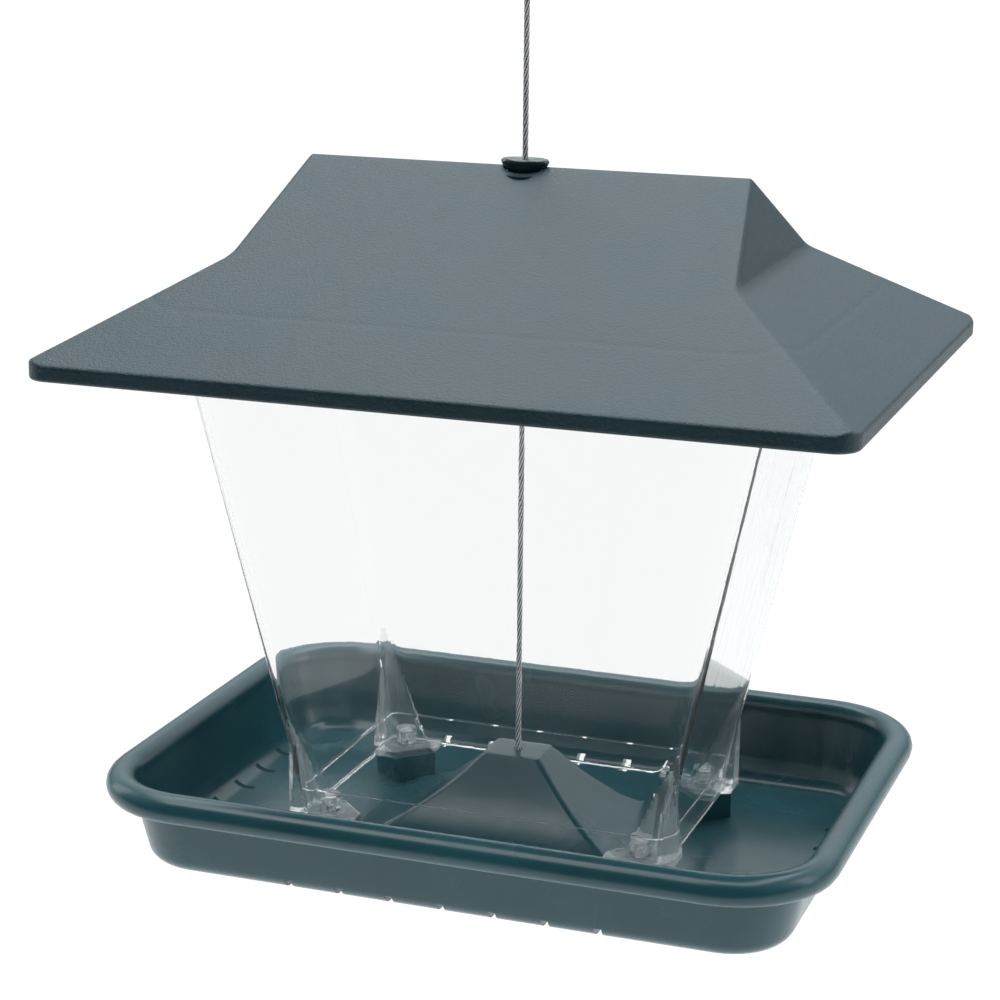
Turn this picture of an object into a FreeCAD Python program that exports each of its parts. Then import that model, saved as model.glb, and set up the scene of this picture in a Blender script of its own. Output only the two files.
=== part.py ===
import FreeCAD, Part
import math
import os
import Sketcher
from FreeCAD import Placement, Rotation, Vector

# Hanging hopper bird feeder: a roof and a clear seed hopper over a tray, on one steel cable.
# The origin is the centre of the tray's underside. +Z is up along the cable, X runs along the
# roof's ridge and -Y is the front. All sizes are in millimetres.

DRIVING_SIZES = {
    # roof
    "roof_length": 300.0,
    "roof_width": 219.0,
    "roof_corner": 9.0,
    "roof_wall": 2.4,
    "fascia_foot": 190.2,
    "eave_height": 196.2,
    "gable_height": 229.9,
    "gable_length": 189.4,
    "ridge_height": 260.6,
    "ridge_length": 170.0,
    "ridge_flat": 3.0,
    "rib_thickness": 2.0,
    "rib_clearance": 0.7,
    "rib_foot": 199.0,
    "bearing_rib_offset": 60.0,
    "bearing_rib_reach": 14.0,
    "boss_radius": 8.0,
    # plug in the ridge
    "cap_length": 18.4,
    "cap_width": 10.6,
    "cap_seat_height": 257.6,
    "cap_lip_height": 262.4,
    "cap_top_height": 263.7,
    "stem_radius": 2.9,
    "stem_length": 5.0,
    "stem_clearance": 0.4,
    # clear hopper
    "hopper_wall": 2.2,
    "hopper_lip": 1.0,
    "hopper_foot": 14.0,
    "lip_height": 25.0,
    "waist_height": 42.0,
    "hopper_top": 206.0,
    "foot_length": 146.0,
    "foot_width": 97.0,
    "waist_length": 153.0,
    "waist_width": 101.6,
    "top_length": 224.6,
    "top_width": 157.0,
    "lower_corner": 6.0,
    "upper_corner": 22.0,
    "post_length": 153.2,
    "post_width": 102.0,
    "post_leg": 15.0,
    "post_leg_at_top": 2.6,
    "post_thickness": 3.4,
    "post_top": 60.0,
    "shelf_thickness": 2.5,
    "hopper_boss_radius": 4.0,
    "hopper_boss_top": 22.0,
    # tray
    "tray_length": 249.0,
    "tray_width": 169.0,
    "tray_corner": 22.7,
    "tray_draft": 7.5,
    "tray_wall": 2.2,
    "tray_edge_radius": 5.0,
    "rim_height": 30.3,
    "rim_radius": 5.8,
    "block_offset_along": 62.5,
    "block_offset_across": 39.5,
    "block_reach": 13.0,
    "block_height": 13.0,
    "cone_height": 34.8,
    "cone_wall": 2.8,
    "slot_pitch": 20.0,
    "slot_width": 3.0,
    "slot_length": 11.0,
    # screws
    "screw_radius": 1.75,
    "screw_hole_radius": 2.1,
    "screw_head_radius": 3.5,
    "screw_head_height": 2.6,
    "counterbore_radius": 3.9,
    "counterbore_depth": 4.0,
    "screw_tip": 20.0,
    "boss_hole_top": 20.6,
    # cable
    "cable_radius": 1.1,
    "cable_hole_radius": 1.5,
    "cable_foot": 20.8,
    "stop_radius": 3.0,
    "stop_length": 9.5,
    "washer_radius": 6.0,
    "washer_thickness": 1.2,
    "return_offset": 2.5,
    "crimp_clearance": 0.05,
    "ferrule_foot": 323.0,
    "ferrule_length": 14.0,
    "ferrule_wall": 1.6,
}

# Half length and half width of the seed cone at each height: steep near its flat top, and
# flaring towards the floor.
CONE_LEVELS = [(34.8, 11.7, 9.3), (21.3, 25.6, 17.4), (13.4, 34.6, 22.6), (6.4, 45.0, 28.6), (2.2, 56.0, 35.0)]

# The cable's route in the XZ plane, from the lower stop up the middle, round the hanging loop and
# back down into the ferrule. Straight runs, rounded by tangent arcs.
CABLE_ROUTE = [
    (0.0, 20.8),
    (0.0, 339.0),
    (-1.0, 348.0),
    (-11.25, 359.4),
    (-11.25, 369.8),
    (-3.95, 377.1),
    (6.45, 377.1),
    (13.75, 369.8),
    (13.75, 359.4),
    (3.5, 348.0),
    (2.5, 339.0),
    (2.5, 321.5),
]
ARC_SHARE_OF_RUN = 0.45

CORNERS = {
    "front_left": (-1, -1),
    "front_right": (1, -1),
    "back_left": (-1, 1),
    "back_right": (1, 1),
}

doc = FreeCAD.newDocument("hanging_bird_feeder")
sheet = doc.addObject("Spreadsheet::Sheet", "sizes")
for row, (alias, size) in enumerate(DRIVING_SIZES.items(), start=1):
    sheet.set(f"A{row}", alias)
    sheet.set(f"B{row}", str(size))
    sheet.setAlias(f"B{row}", alias)
doc.recompute()


def size_of(expression):
    """The value of an expression in the sheet's cells."""
    value = sheet.evalExpression(expression)
    return float(getattr(value, "Value", value))


def new_body(label):
    body = doc.addObject("PartDesign::Body", label)
    body.Label = label
    return body


def new_sketch(body, name, height="0", role="XY_Plane"):
    """A sketch on one of the body's own origin planes, raised by an expression."""
    plane = next(item for item in body.Origin.OriginFeatures if item.Role == role)
    sketch = body.newObject("Sketcher::SketchObject", name)
    sketch.AttachmentSupport = [(plane, "")]
    sketch.MapMode = "FlatFace"
    sketch.setExpression("AttachmentOffset.Base.z", height)
    return sketch


def bind(sketch, name, constraint, expression):
    """Add a constraint that carries a size, and bind it to the sheet."""
    index = sketch.addConstraint(constraint)
    sketch.renameConstraint(index, name)
    sketch.setExpression(f"Constraints.{name}", expression)


def add_rounded_rectangle(sketch, name, half_x, half_y, radius):
    """Four lines and four tangent arcs, centred on the sketch's origin."""
    long, wide, bend = size_of(half_x), size_of(half_y), size_of(radius)
    first = sketch.GeometryCount
    for quarter, (sign_x, sign_y) in enumerate([(1, 1), (-1, 1), (-1, -1), (1, -1)]):
        centre = Vector(sign_x * (long - bend), sign_y * (wide - bend), 0)
        start = quarter * math.pi / 2
        circle = Part.Circle(centre, Vector(0, 0, 1), bend)
        sketch.addGeometry(Part.ArcOfCircle(circle, start, start + math.pi / 2), False)
    corner = [(sign_x * long, sign_y * wide) for sign_x, sign_y in [(1, 1), (-1, 1), (-1, -1), (1, -1)]]
    ends = [
        ((corner[0][0] - bend, corner[0][1]), (corner[1][0] + bend, corner[1][1])),
        ((corner[1][0], corner[1][1] - bend), (corner[2][0], corner[2][1] + bend)),
        ((corner[2][0] + bend, corner[2][1]), (corner[3][0] - bend, corner[3][1])),
        ((corner[3][0], corner[3][1] + bend), (corner[0][0], corner[0][1] - bend)),
    ]
    for start, end in ends:
        sketch.addGeometry(Part.LineSegment(Vector(*start, 0), Vector(*end, 0)), False)
    for side in range(4):
        line = first + 4 + side
        sketch.addConstraint(Sketcher.Constraint("Tangent", first + side, 2, line, 1))
        sketch.addConstraint(Sketcher.Constraint("Tangent", line, 2, first + (side + 1) % 4, 1))
        direction = "Vertical" if side % 2 else "Horizontal"
        sketch.addConstraint(Sketcher.Constraint(direction, line))
    for side in range(1, 4):
        sketch.addConstraint(Sketcher.Constraint("Equal", first, first + side))
    top, left, bottom, right = range(first + 4, first + 8)
    bind(sketch, f"{name}_radius", Sketcher.Constraint("Radius", first, bend), radius)
    bind(sketch, f"{name}_right", Sketcher.Constraint("DistanceX", -1, 1, right, 1, long), half_x)
    bind(sketch, f"{name}_left", Sketcher.Constraint("DistanceX", left, 1, -1, 1, long), half_x)
    bind(sketch, f"{name}_top", Sketcher.Constraint("DistanceY", -1, 1, top, 1, wide), half_y)
    bind(sketch, f"{name}_bottom", Sketcher.Constraint("DistanceY", bottom, 1, -1, 1, wide), half_y)


def add_polygon(sketch, name, points):
    """A closed outline whose corners are pairs of expressions."""
    first = sketch.GeometryCount
    corners = [Vector(size_of(x), size_of(y), 0) for x, y in points]
    for start, end in zip(corners, corners[1:] + corners[:1]):
        sketch.addGeometry(Part.LineSegment(start, end), False)
    for number, (x, y) in enumerate(points):
        line = first + number
        following = first + (number + 1) % len(points)
        sketch.addConstraint(Sketcher.Constraint("Coincident", line, 2, following, 1))
        across = Sketcher.Constraint("DistanceX", -1, 1, line, 1, corners[number].x)
        along = Sketcher.Constraint("DistanceY", -1, 1, line, 1, corners[number].y)
        bind(sketch, f"{name}_x{number}", across, x)
        bind(sketch, f"{name}_y{number}", along, y)


def add_rectangle(sketch, name, half_x, half_y):
    add_polygon(sketch, name, [
        (half_x, half_y),
        (f"-({half_x})", half_y),
        (f"-({half_x})", f"-({half_y})"),
        (half_x, f"-({half_y})"),
    ])


def add_circle(sketch, name, x, y, radius):
    centre = Vector(size_of(x), size_of(y), 0)
    index = sketch.addGeometry(Part.Circle(centre, Vector(0, 0, 1), size_of(radius)), False)
    bind(sketch, f"{name}_radius", Sketcher.Constraint("Radius", index, size_of(radius)), radius)
    bind(sketch, f"{name}_x", Sketcher.Constraint("DistanceX", -1, 1, index, 3, centre.x), x)
    bind(sketch, f"{name}_y", Sketcher.Constraint("DistanceY", -1, 1, index, 3, centre.y), y)


def add_loft(body, kind, name, sketches):
    """A ruled loft through sketches; kind is Additive or Subtractive."""
    loft = body.newObject(f"PartDesign::{kind}Loft", name)
    loft.Profile = sketches[0]
    loft.Sections = sketches[1:]
    loft.Ruled = True
    return loft


def add_pad(body, name, sketch, length):
    pad = body.newObject("PartDesign::Pad", name)
    pad.Profile = sketch
    pad.setExpression("Length", length)
    return pad


def cut_upwards(body, name, sketch, length):
    """A pocket from the sketch towards +Z, which has to take material away."""
    doc.recompute()
    volume_before = body.Shape.Volume
    pocket = body.newObject("PartDesign::Pocket", name)
    pocket.Profile = sketch
    pocket.Reversed = True
    pocket.setExpression("Length", length)
    doc.recompute()
    if body.Shape.Volume >= volume_before:
        raise RuntimeError(f"{name} cuts nothing")
    return pocket


def combine(kind, label, **links):
    """A Part boolean of other objects."""
    result = doc.addObject(f"Part::{kind}", label)
    for link, target in links.items():
        setattr(result, link, target)
    result.Label = label
    return result


def make_tube(label, outline, height, length):
    """A straight piece: the outline's sketch padded upwards."""
    body = new_body(label)
    sketch = new_sketch(body, f"{label}_outline", height)
    outline(sketch)
    add_pad(body, f"{label}_pad", sketch, length)
    return body


# Roof ------------------------------------------------------------------------------------------

EAVE_HALF_LENGTH = "sizes.roof_length / 2"
EAVE_HALF_WIDTH = "sizes.roof_width / 2"
GABLE_SHARE = "(sizes.ridge_height - sizes.gable_height) / (sizes.ridge_height - sizes.eave_height)"
GABLE_HALF_WIDTH = f"sizes.ridge_flat / 2 + (sizes.roof_width - sizes.ridge_flat) / 2 * {GABLE_SHARE}"


def make_roof_form(label, drop, edge_inset, gable_inset, foot):
    """The roof's solid form: flat slopes from the eaves to the ridge, steep gable ends above
    shallow skirts, cut upright to rounded corners. The cavity is the same form, dropped so that
    the slopes keep their wall, with its edges and gables moved in."""
    body = new_body(label)
    levels = [
        ("foot", foot, EAVE_HALF_LENGTH, EAVE_HALF_WIDTH),
        ("eave", f"sizes.eave_height - {drop}", EAVE_HALF_LENGTH, EAVE_HALF_WIDTH),
        ("gable", f"sizes.gable_height - {drop}", f"sizes.gable_length / 2 - {gable_inset}", GABLE_HALF_WIDTH),
        ("ridge", f"sizes.ridge_height - {drop}", f"sizes.ridge_length / 2 - {gable_inset}", "sizes.ridge_flat / 2"),
    ]
    sketches = []
    for level, height, half_x, half_y in levels:
        sketch = new_sketch(body, f"{label}_{level}", height)
        add_rectangle(sketch, level, half_x, half_y)
        sketches.append(sketch)
    add_loft(body, "Additive", f"{label}_loft", sketches)
    trim = new_sketch(body, f"{label}_trim", foot)
    add_rectangle(trim, "outside", "sizes.roof_length", "sizes.roof_width")
    add_rounded_rectangle(
        trim, "corner", f"{EAVE_HALF_LENGTH} - {edge_inset}", f"{EAVE_HALF_WIDTH} - {edge_inset}",
        f"sizes.roof_corner - {edge_inset}")
    cut_upwards(body, f"{label}_corners", trim, "sizes.ridge_height")
    return body


def make_roof_ribs():
    """Under the roof: a locating wall round the hopper's top, four bearing ribs that rest on
    the hopper, and a boss for the plug's stem. They are cut to the roof's form."""
    ribs = new_body("roof_ribs")
    wall = new_sketch(ribs, "locating_wall", "sizes.rib_foot")
    inner_x = "sizes.top_length / 2 + sizes.rib_clearance"
    inner_y = "sizes.top_width / 2 + sizes.rib_clearance"
    add_rounded_rectangle(wall, "inner", inner_x, inner_y, "sizes.upper_corner")
    add_rounded_rectangle(
        wall, "outer", f"{inner_x} + sizes.rib_thickness", f"{inner_y} + sizes.rib_thickness",
        "sizes.upper_corner + sizes.rib_thickness")
    add_pad(ribs, "locating_wall_pad", wall, "sizes.ridge_height - sizes.rib_foot")
    bearing = new_sketch(ribs, "bearing_ribs", "sizes.hopper_top")
    near = f"{inner_y} - sizes.bearing_rib_reach"
    far = f"{inner_y} + sizes.rib_thickness / 2"
    for corner, (sign_x, sign_y) in CORNERS.items():
        left = f"{sign_x} * sizes.bearing_rib_offset - sizes.rib_thickness / 2"
        right = f"{sign_x} * sizes.bearing_rib_offset + sizes.rib_thickness / 2"
        low, high = f"{sign_y} * ({near})", f"{sign_y} * ({far})"
        add_polygon(bearing, corner, [(left, low), (right, low), (right, high), (left, high)])
    add_pad(ribs, "bearing_ribs_pad", bearing, "sizes.ridge_height - sizes.hopper_top")
    return ribs


def make_roof():
    outer = make_roof_form("roof_outer", "0", "0", "0", "sizes.fascia_foot")
    slope = "(sizes.ridge_height - sizes.eave_height) / (sizes.roof_width / 2 - sizes.ridge_flat / 2)"
    drop = f"sizes.roof_wall * sqrt(1 + ({slope})^2)"
    cavity = make_roof_form("roof_cavity", drop, "sizes.roof_wall", "sizes.roof_wall * 0.8", "0")
    boss = make_tube(
        "ridge_boss",
        lambda sketch: add_circle(sketch, "boss", "0", "0", "sizes.boss_radius"),
        "sizes.cap_seat_height - sizes.stem_length - 2", "sizes.boss_radius")
    ribs = combine("MultiFuse", "roof_ribs_and_boss", Shapes=[make_roof_ribs(), boss])
    fitted_ribs = combine("Common", "roof_fitted_ribs", Base=ribs, Tool=outer)
    shell = combine("Cut", "roof_shell", Base=outer, Tool=cavity)
    blank = combine("MultiFuse", "roof_blank", Shapes=[shell, fitted_ribs])
    seat = make_tube(
        "cap_seat",
        lambda sketch: add_rounded_rectangle(
            sketch, "seat", "sizes.cap_length / 2 + sizes.stem_clearance",
            "sizes.cap_width / 2 + sizes.stem_clearance", "sizes.cap_width / 2"),
        "sizes.cap_seat_height", "sizes.boss_radius")
    stem_hole = make_tube(
        "stem_hole",
        lambda sketch: add_circle(sketch, "hole", "0", "0", "sizes.stem_radius + sizes.stem_clearance"),
        "sizes.hopper_top", "sizes.ridge_height - sizes.hopper_top")
    cutters = combine("MultiFuse", "ridge_cutters", Shapes=[seat, stem_hole])
    return combine("Cut", "roof", Base=blank, Tool=cutters)


def make_roof_cap():
    """Oval plug: a tapered head that widens upwards from its seat, and a stem below it."""
    cap = new_body("roof_cap")
    sections = []
    for level, height, share in [
        ("seat", "sizes.cap_seat_height", 0.68),
        ("lip", "sizes.cap_lip_height", 1.0),
        ("crown", "sizes.cap_top_height", 0.86),
    ]:
        sketch = new_sketch(cap, f"cap_{level}", height)
        half_width = f"sizes.cap_width / 2 * {share}"
        add_rounded_rectangle(sketch, level, f"sizes.cap_length / 2 * {share}", half_width, f"{half_width} * 0.98")
        sections.append(sketch)
    add_loft(cap, "Additive", "cap_head", sections)
    stem = new_sketch(cap, "cap_stem", "sizes.cap_seat_height - sizes.stem_length")
    add_circle(stem, "stem", "0", "0", "sizes.stem_radius")
    add_pad(cap, "cap_stem_pad", stem, "sizes.stem_length + 1")
    hole = new_sketch(cap, "cap_hole", "sizes.cap_seat_height - sizes.stem_length")
    add_circle(hole, "hole", "0", "0", "sizes.cable_hole_radius")
    cut_upwards(cap, "cap_hole_cut", hole, "sizes.stem_length + sizes.boss_radius")
    return cap


# Hopper ----------------------------------------------------------------------------------------

LIP_SHARE = "(sizes.lip_height - sizes.hopper_foot) / (sizes.waist_height - sizes.hopper_foot)"
HOPPER_LEVELS = {
    "foot": ("sizes.hopper_foot", "sizes.foot_length / 2", "sizes.foot_width / 2", "sizes.lower_corner"),
    "lip": (
        "sizes.lip_height",
        f"(sizes.foot_length + (sizes.waist_length - sizes.foot_length) * {LIP_SHARE}) / 2",
        f"(sizes.foot_width + (sizes.waist_width - sizes.foot_width) * {LIP_SHARE}) / 2",
        "sizes.lower_corner",
    ),
    "waist": ("sizes.waist_height", "sizes.waist_length / 2", "sizes.waist_width / 2", "sizes.lower_corner"),
    "top": ("sizes.hopper_top", "sizes.top_length / 2", "sizes.top_width / 2", "sizes.upper_corner"),
}


def loft_hopper(body, kind, name, levels, inset):
    """Loft the hopper's walls through the named levels, moved in by an expression."""
    sketches = []
    for level in levels:
        height, half_x, half_y, radius = HOPPER_LEVELS[level]
        sketch = new_sketch(body, f"{name}_{level}", height)
        add_rounded_rectangle(sketch, level, f"{half_x} - {inset}", f"{half_y} - {inset}", f"{radius} - {inset}")
        sketches.append(sketch)
    add_loft(body, kind, name, sketches)


def post_outline(sign_x, sign_y, leg, thickness):
    """An L round the hopper's corner, its legs running in along both walls."""
    outer_x, outer_y = "sizes.post_length / 2", "sizes.post_width / 2"
    corners = [
        (outer_x, outer_y),
        (f"{outer_x} - {leg}", outer_y),
        (f"{outer_x} - {leg}", f"{outer_y} - {thickness}"),
        (f"{outer_x} - {thickness}", f"{outer_y} - {thickness}"),
        (f"{outer_x} - {thickness}", f"{outer_y} - {leg}"),
        (outer_x, f"{outer_y} - {leg}"),
    ]
    return [(f"{sign_x} * ({x})", f"{sign_y} * ({y})") for x, y in corners]


def shelf_outline(sign_x, sign_y):
    """The flat web across a corner, over the tray's block: a rectangle with its inner corner cut."""
    outer_x, outer_y = "sizes.post_length / 2 - 1", "sizes.post_width / 2 - 1"
    inner_x = "sizes.block_offset_along - sizes.block_reach"
    inner_y = "sizes.block_offset_across - sizes.block_reach"
    corners = [
        (outer_x, outer_y),
        (inner_x, outer_y),
        (inner_x, "sizes.block_offset_across"),
        ("sizes.block_offset_along", inner_y),
        (outer_x, inner_y),
    ]
    return [(f"{sign_x} * ({x})", f"{sign_y} * ({y})") for x, y in corners]


def make_hopper():
    hopper = new_body("hopper")
    loft_hopper(hopper, "Additive", "walls", ["foot", "waist", "top"], "0")
    loft_hopper(hopper, "Subtractive", "seed_space", ["lip", "waist", "top"], "sizes.hopper_wall")
    loft_hopper(hopper, "Subtractive", "lip_space", ["foot", "lip"], "(sizes.hopper_wall + sizes.hopper_lip)")
    for corner, (sign_x, sign_y) in CORNERS.items():
        foot = new_sketch(hopper, f"post_{corner}_foot", "sizes.block_height")
        add_polygon(foot, "foot", post_outline(sign_x, sign_y, "sizes.post_leg", "sizes.post_thickness"))
        tip = new_sketch(hopper, f"post_{corner}_tip", "sizes.post_top")
        add_polygon(tip, "tip", post_outline(sign_x, sign_y, "sizes.post_leg_at_top", "sizes.post_leg_at_top / 2"))
        add_loft(hopper, "Additive", f"post_{corner}", [foot, tip])
        shelf = new_sketch(hopper, f"shelf_{corner}", "sizes.block_height")
        add_polygon(shelf, "shelf", shelf_outline(sign_x, sign_y))
        add_pad(hopper, f"shelf_{corner}_pad", shelf, "sizes.shelf_thickness")
        centre_x = f"{sign_x} * sizes.block_offset_along"
        centre_y = f"{sign_y} * sizes.block_offset_across"
        boss = new_sketch(hopper, f"boss_{corner}", "sizes.block_height")
        add_circle(boss, "boss", centre_x, centre_y, "sizes.hopper_boss_radius")
        add_pad(hopper, f"boss_{corner}_pad", boss, "sizes.hopper_boss_top - sizes.block_height")
        hole = new_sketch(hopper, f"boss_hole_{corner}", "sizes.block_height")
        add_circle(hole, "hole", centre_x, centre_y, "sizes.screw_radius + sizes.crimp_clearance")
        cut_upwards(hopper, f"boss_hole_{corner}_cut", hole, "sizes.boss_hole_top - sizes.block_height")
    return hopper


# Tray ------------------------------------------------------------------------------------------

RIM_LINE_LENGTH = "sizes.tray_length / 2 + sizes.tray_draft - sizes.tray_wall + sizes.rim_radius"
RIM_LINE_WIDTH = "sizes.tray_width / 2 + sizes.tray_draft - sizes.tray_wall + sizes.rim_radius"
RIM_LINE_CORNER = "sizes.tray_corner + sizes.tray_draft - sizes.tray_wall + sizes.rim_radius"
RIM_CURL_DEGREES = 50


def loft_tray(body, kind, name, inset, floor):
    """Loft the tray's drafted sides up to the rim, over a rounded edge at the floor."""
    edge = "sizes.tray_edge_radius"
    levels = [
        ("flat", floor, f"(0 - {edge} * 0.8)"),
        ("bend", f"{floor} + {edge} * 0.25", f"(0 - {edge} * 0.28)"),
        ("wall", f"{floor} + {edge}", f"sizes.tray_draft * {edge} / sizes.rim_height"),
        ("high", "sizes.rim_height", "sizes.tray_draft"),
    ]
    sketches = []
    for level, height, draft in levels:
        sketch = new_sketch(body, f"{name}_{level}", height)
        add_rounded_rectangle(
            sketch, level, f"sizes.tray_length / 2 + {draft} - {inset}",
            f"sizes.tray_width / 2 + {draft} - {inset}", f"sizes.tray_corner + {draft} - {inset}")
        sketches.append(sketch)
    return add_loft(body, kind, name, sketches)


def add_rim(tray):
    """The rolled rim: an arch over the top of the wall whose outer side curls under, swept
    round the tray."""
    path = new_sketch(tray, "rim_path", "sizes.rim_height")
    add_rounded_rectangle(path, "rim", RIM_LINE_LENGTH, RIM_LINE_WIDTH, RIM_LINE_CORNER)
    section = new_sketch(tray, "rim_section", "0", "XZ_Plane")
    centre = Vector(size_of(RIM_LINE_LENGTH), size_of("sizes.rim_height"), 0)
    curl = -math.radians(RIM_CURL_DEGREES)
    radii = ["sizes.rim_radius", "sizes.rim_radius - sizes.tray_wall"]
    for number, radius in enumerate(radii):
        circle = Part.Circle(centre, Vector(0, 0, 1), size_of(radius))
        arc = section.addGeometry(Part.ArcOfCircle(circle, curl, math.pi), False)
        bind(section, f"radius_{number}", Sketcher.Constraint("Radius", arc, size_of(radius)), radius)
        bind(section, f"centre_x{number}", Sketcher.Constraint("DistanceX", -1, 1, arc, 3, centre.x), RIM_LINE_LENGTH)
        bind(section, f"centre_z{number}", Sketcher.Constraint("DistanceY", -1, 1, arc, 3, centre.y), "sizes.rim_height")
    outer, inner = 0, 1
    for position in (1, 2):
        start = section.getPoint(outer, position)
        end = section.getPoint(inner, position)
        line = section.addGeometry(Part.LineSegment(start, end), False)
        section.addConstraint(Sketcher.Constraint("Coincident", outer, position, line, 1))
        section.addConstraint(Sketcher.Constraint("Coincident", inner, position, line, 2))
    rim = tray.newObject("PartDesign::AdditivePipe", "rim")
    rim.Profile = section
    rim.Spine = path
    return rim


def loft_cone(tray, kind, name, drop):
    """Loft the four-sided seed cone through its levels, lowered by an expression."""
    sketches = []
    for number, (height, half_x, half_y) in enumerate(CONE_LEVELS):
        sketch = new_sketch(tray, f"{name}_{number}", f"{height} - {drop}")
        add_rectangle(sketch, "level", str(half_x), str(half_y))
        sketches.append(sketch)
    return add_loft(tray, kind, name, sketches)


def slot_outlines():
    """The drain slots: seven along each long side and five along each short side, each running
    in from the tray's edge."""
    half_slot = "sizes.slot_width / 2"
    sides = [
        (3, "sizes.tray_width / 2", False),
        (2, "sizes.tray_length / 2", True),
    ]
    for reach, edge, turned in sides:
        for sign in (-1, 1):
            for step in range(-reach, reach + 1):
                middle = f"{step} * sizes.slot_pitch"
                inner, outer = f"{sign} * ({edge} - sizes.slot_length)", f"{sign} * ({edge} + 1)"
                corners = [
                    (f"{middle} - {half_slot}", inner),
                    (f"{middle} + {half_slot}", inner),
                    (f"{middle} + {half_slot}", outer),
                    (f"{middle} - {half_slot}", outer),
                ]
                name = f"slot_{'side' if turned else 'long'}_{sign + 1}_{step + reach}"
                yield name, [(y, x) if turned else (x, y) for x, y in corners]


def make_tray():
    tray = new_body("tray")
    loft_tray(tray, "Additive", "sides", "0", "0")
    loft_tray(tray, "Subtractive", "basin", "sizes.tray_wall", "sizes.tray_wall")
    add_rim(tray)
    blocks = new_sketch(tray, "blocks")
    for corner, (sign_x, sign_y) in CORNERS.items():
        middle_x = f"{sign_x} * sizes.block_offset_along"
        middle_y = f"{sign_y} * sizes.block_offset_across"
        add_polygon(blocks, corner, [
            (f"{middle_x} + sizes.block_reach", middle_y),
            (middle_x, f"{middle_y} + sizes.block_reach"),
            (f"{middle_x} - sizes.block_reach", middle_y),
            (middle_x, f"{middle_y} - sizes.block_reach"),
        ])
    add_pad(tray, "blocks_pad", blocks, "sizes.block_height")
    loft_cone(tray, "Additive", "cone", "0")
    loft_cone(tray, "Subtractive", "cone_hollow", "sizes.cone_wall")
    slots = new_sketch(tray, "drain_slots")
    for name, outline in slot_outlines():
        add_polygon(slots, name, outline)
    cut_upwards(tray, "drain_slots_cut", slots, "sizes.tray_wall * 2")
    holes = new_sketch(tray, "through_holes")
    counterbores = new_sketch(tray, "counterbores")
    for corner, (sign_x, sign_y) in CORNERS.items():
        middle_x = f"{sign_x} * sizes.block_offset_along"
        middle_y = f"{sign_y} * sizes.block_offset_across"
        add_circle(holes, corner, middle_x, middle_y, "sizes.screw_hole_radius")
        add_circle(counterbores, corner, middle_x, middle_y, "sizes.counterbore_radius")
    add_circle(holes, "cable", "0", "0", "sizes.cable_hole_radius")
    cut_upwards(tray, "through_holes_cut", holes, "sizes.cone_height + 1")
    cut_upwards(tray, "counterbores_cut", counterbores, "sizes.counterbore_depth")
    return tray


# Fasteners and cable -----------------------------------------------------------------------------

def make_screw(label, sign_x, sign_y):
    """A self-tapping screw, head down in its counterbore, point up in the hopper's boss."""
    tip_length = "sizes.screw_radius"
    pieces = [
        ("Cylinder", "head", "sizes.counterbore_depth - sizes.screw_head_height", {
            "Radius": "sizes.screw_head_radius",
            "Height": "sizes.screw_head_height",
        }),
        ("Cylinder", "shank", "sizes.counterbore_depth", {
            "Radius": "sizes.screw_radius",
            "Height": f"sizes.screw_tip - {tip_length} - sizes.counterbore_depth",
        }),
        ("Cone", "point", f"sizes.screw_tip - {tip_length}", {
            "Radius1": "sizes.screw_radius",
            "Radius2": "sizes.screw_radius / 4",
            "Height": tip_length,
        }),
    ]
    solids = []
    for kind, name, height, fields in pieces:
        solid = doc.addObject(f"Part::{kind}", f"{label}_{name}")
        for field, expression in fields.items():
            solid.setExpression(field, expression)
        solid.setExpression("Placement.Base.x", f"{sign_x} * sizes.block_offset_along")
        solid.setExpression("Placement.Base.y", f"{sign_y} * sizes.block_offset_across")
        solid.setExpression("Placement.Base.z", height)
        solids.append(solid)
    return combine("MultiFuse", label, Shapes=solids)


def outline_ring(outer_radius, inner_radius):
    def outline(sketch):
        add_circle(sketch, "outer", "0", "0", outer_radius)
        add_circle(sketch, "inner", "0", "0", inner_radius)
    return outline


def make_ferrule():
    """The crimped sleeve that holds the cable's two runs side by side in one oval hole."""
    grip = "sizes.cable_radius + sizes.crimp_clearance"
    ferrule = make_tube(
        "loop_ferrule",
        lambda sketch: add_rounded_rectangle(
            sketch, "outer", f"sizes.return_offset / 2 + {grip} + sizes.ferrule_wall",
            f"{grip} + sizes.ferrule_wall", f"({grip} + sizes.ferrule_wall) * 0.98"),
        "sizes.ferrule_foot", "sizes.ferrule_length")
    hole = new_sketch(ferrule, "loop_ferrule_hole", "sizes.ferrule_foot")
    add_rounded_rectangle(hole, "inner", f"sizes.return_offset / 2 + {grip}", grip, f"({grip}) * 0.98")
    cut_upwards(ferrule, "loop_ferrule_cut", hole, "sizes.ferrule_length")
    ferrule.setExpression("Placement.Base.x", "sizes.return_offset / 2")
    return ferrule


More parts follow.
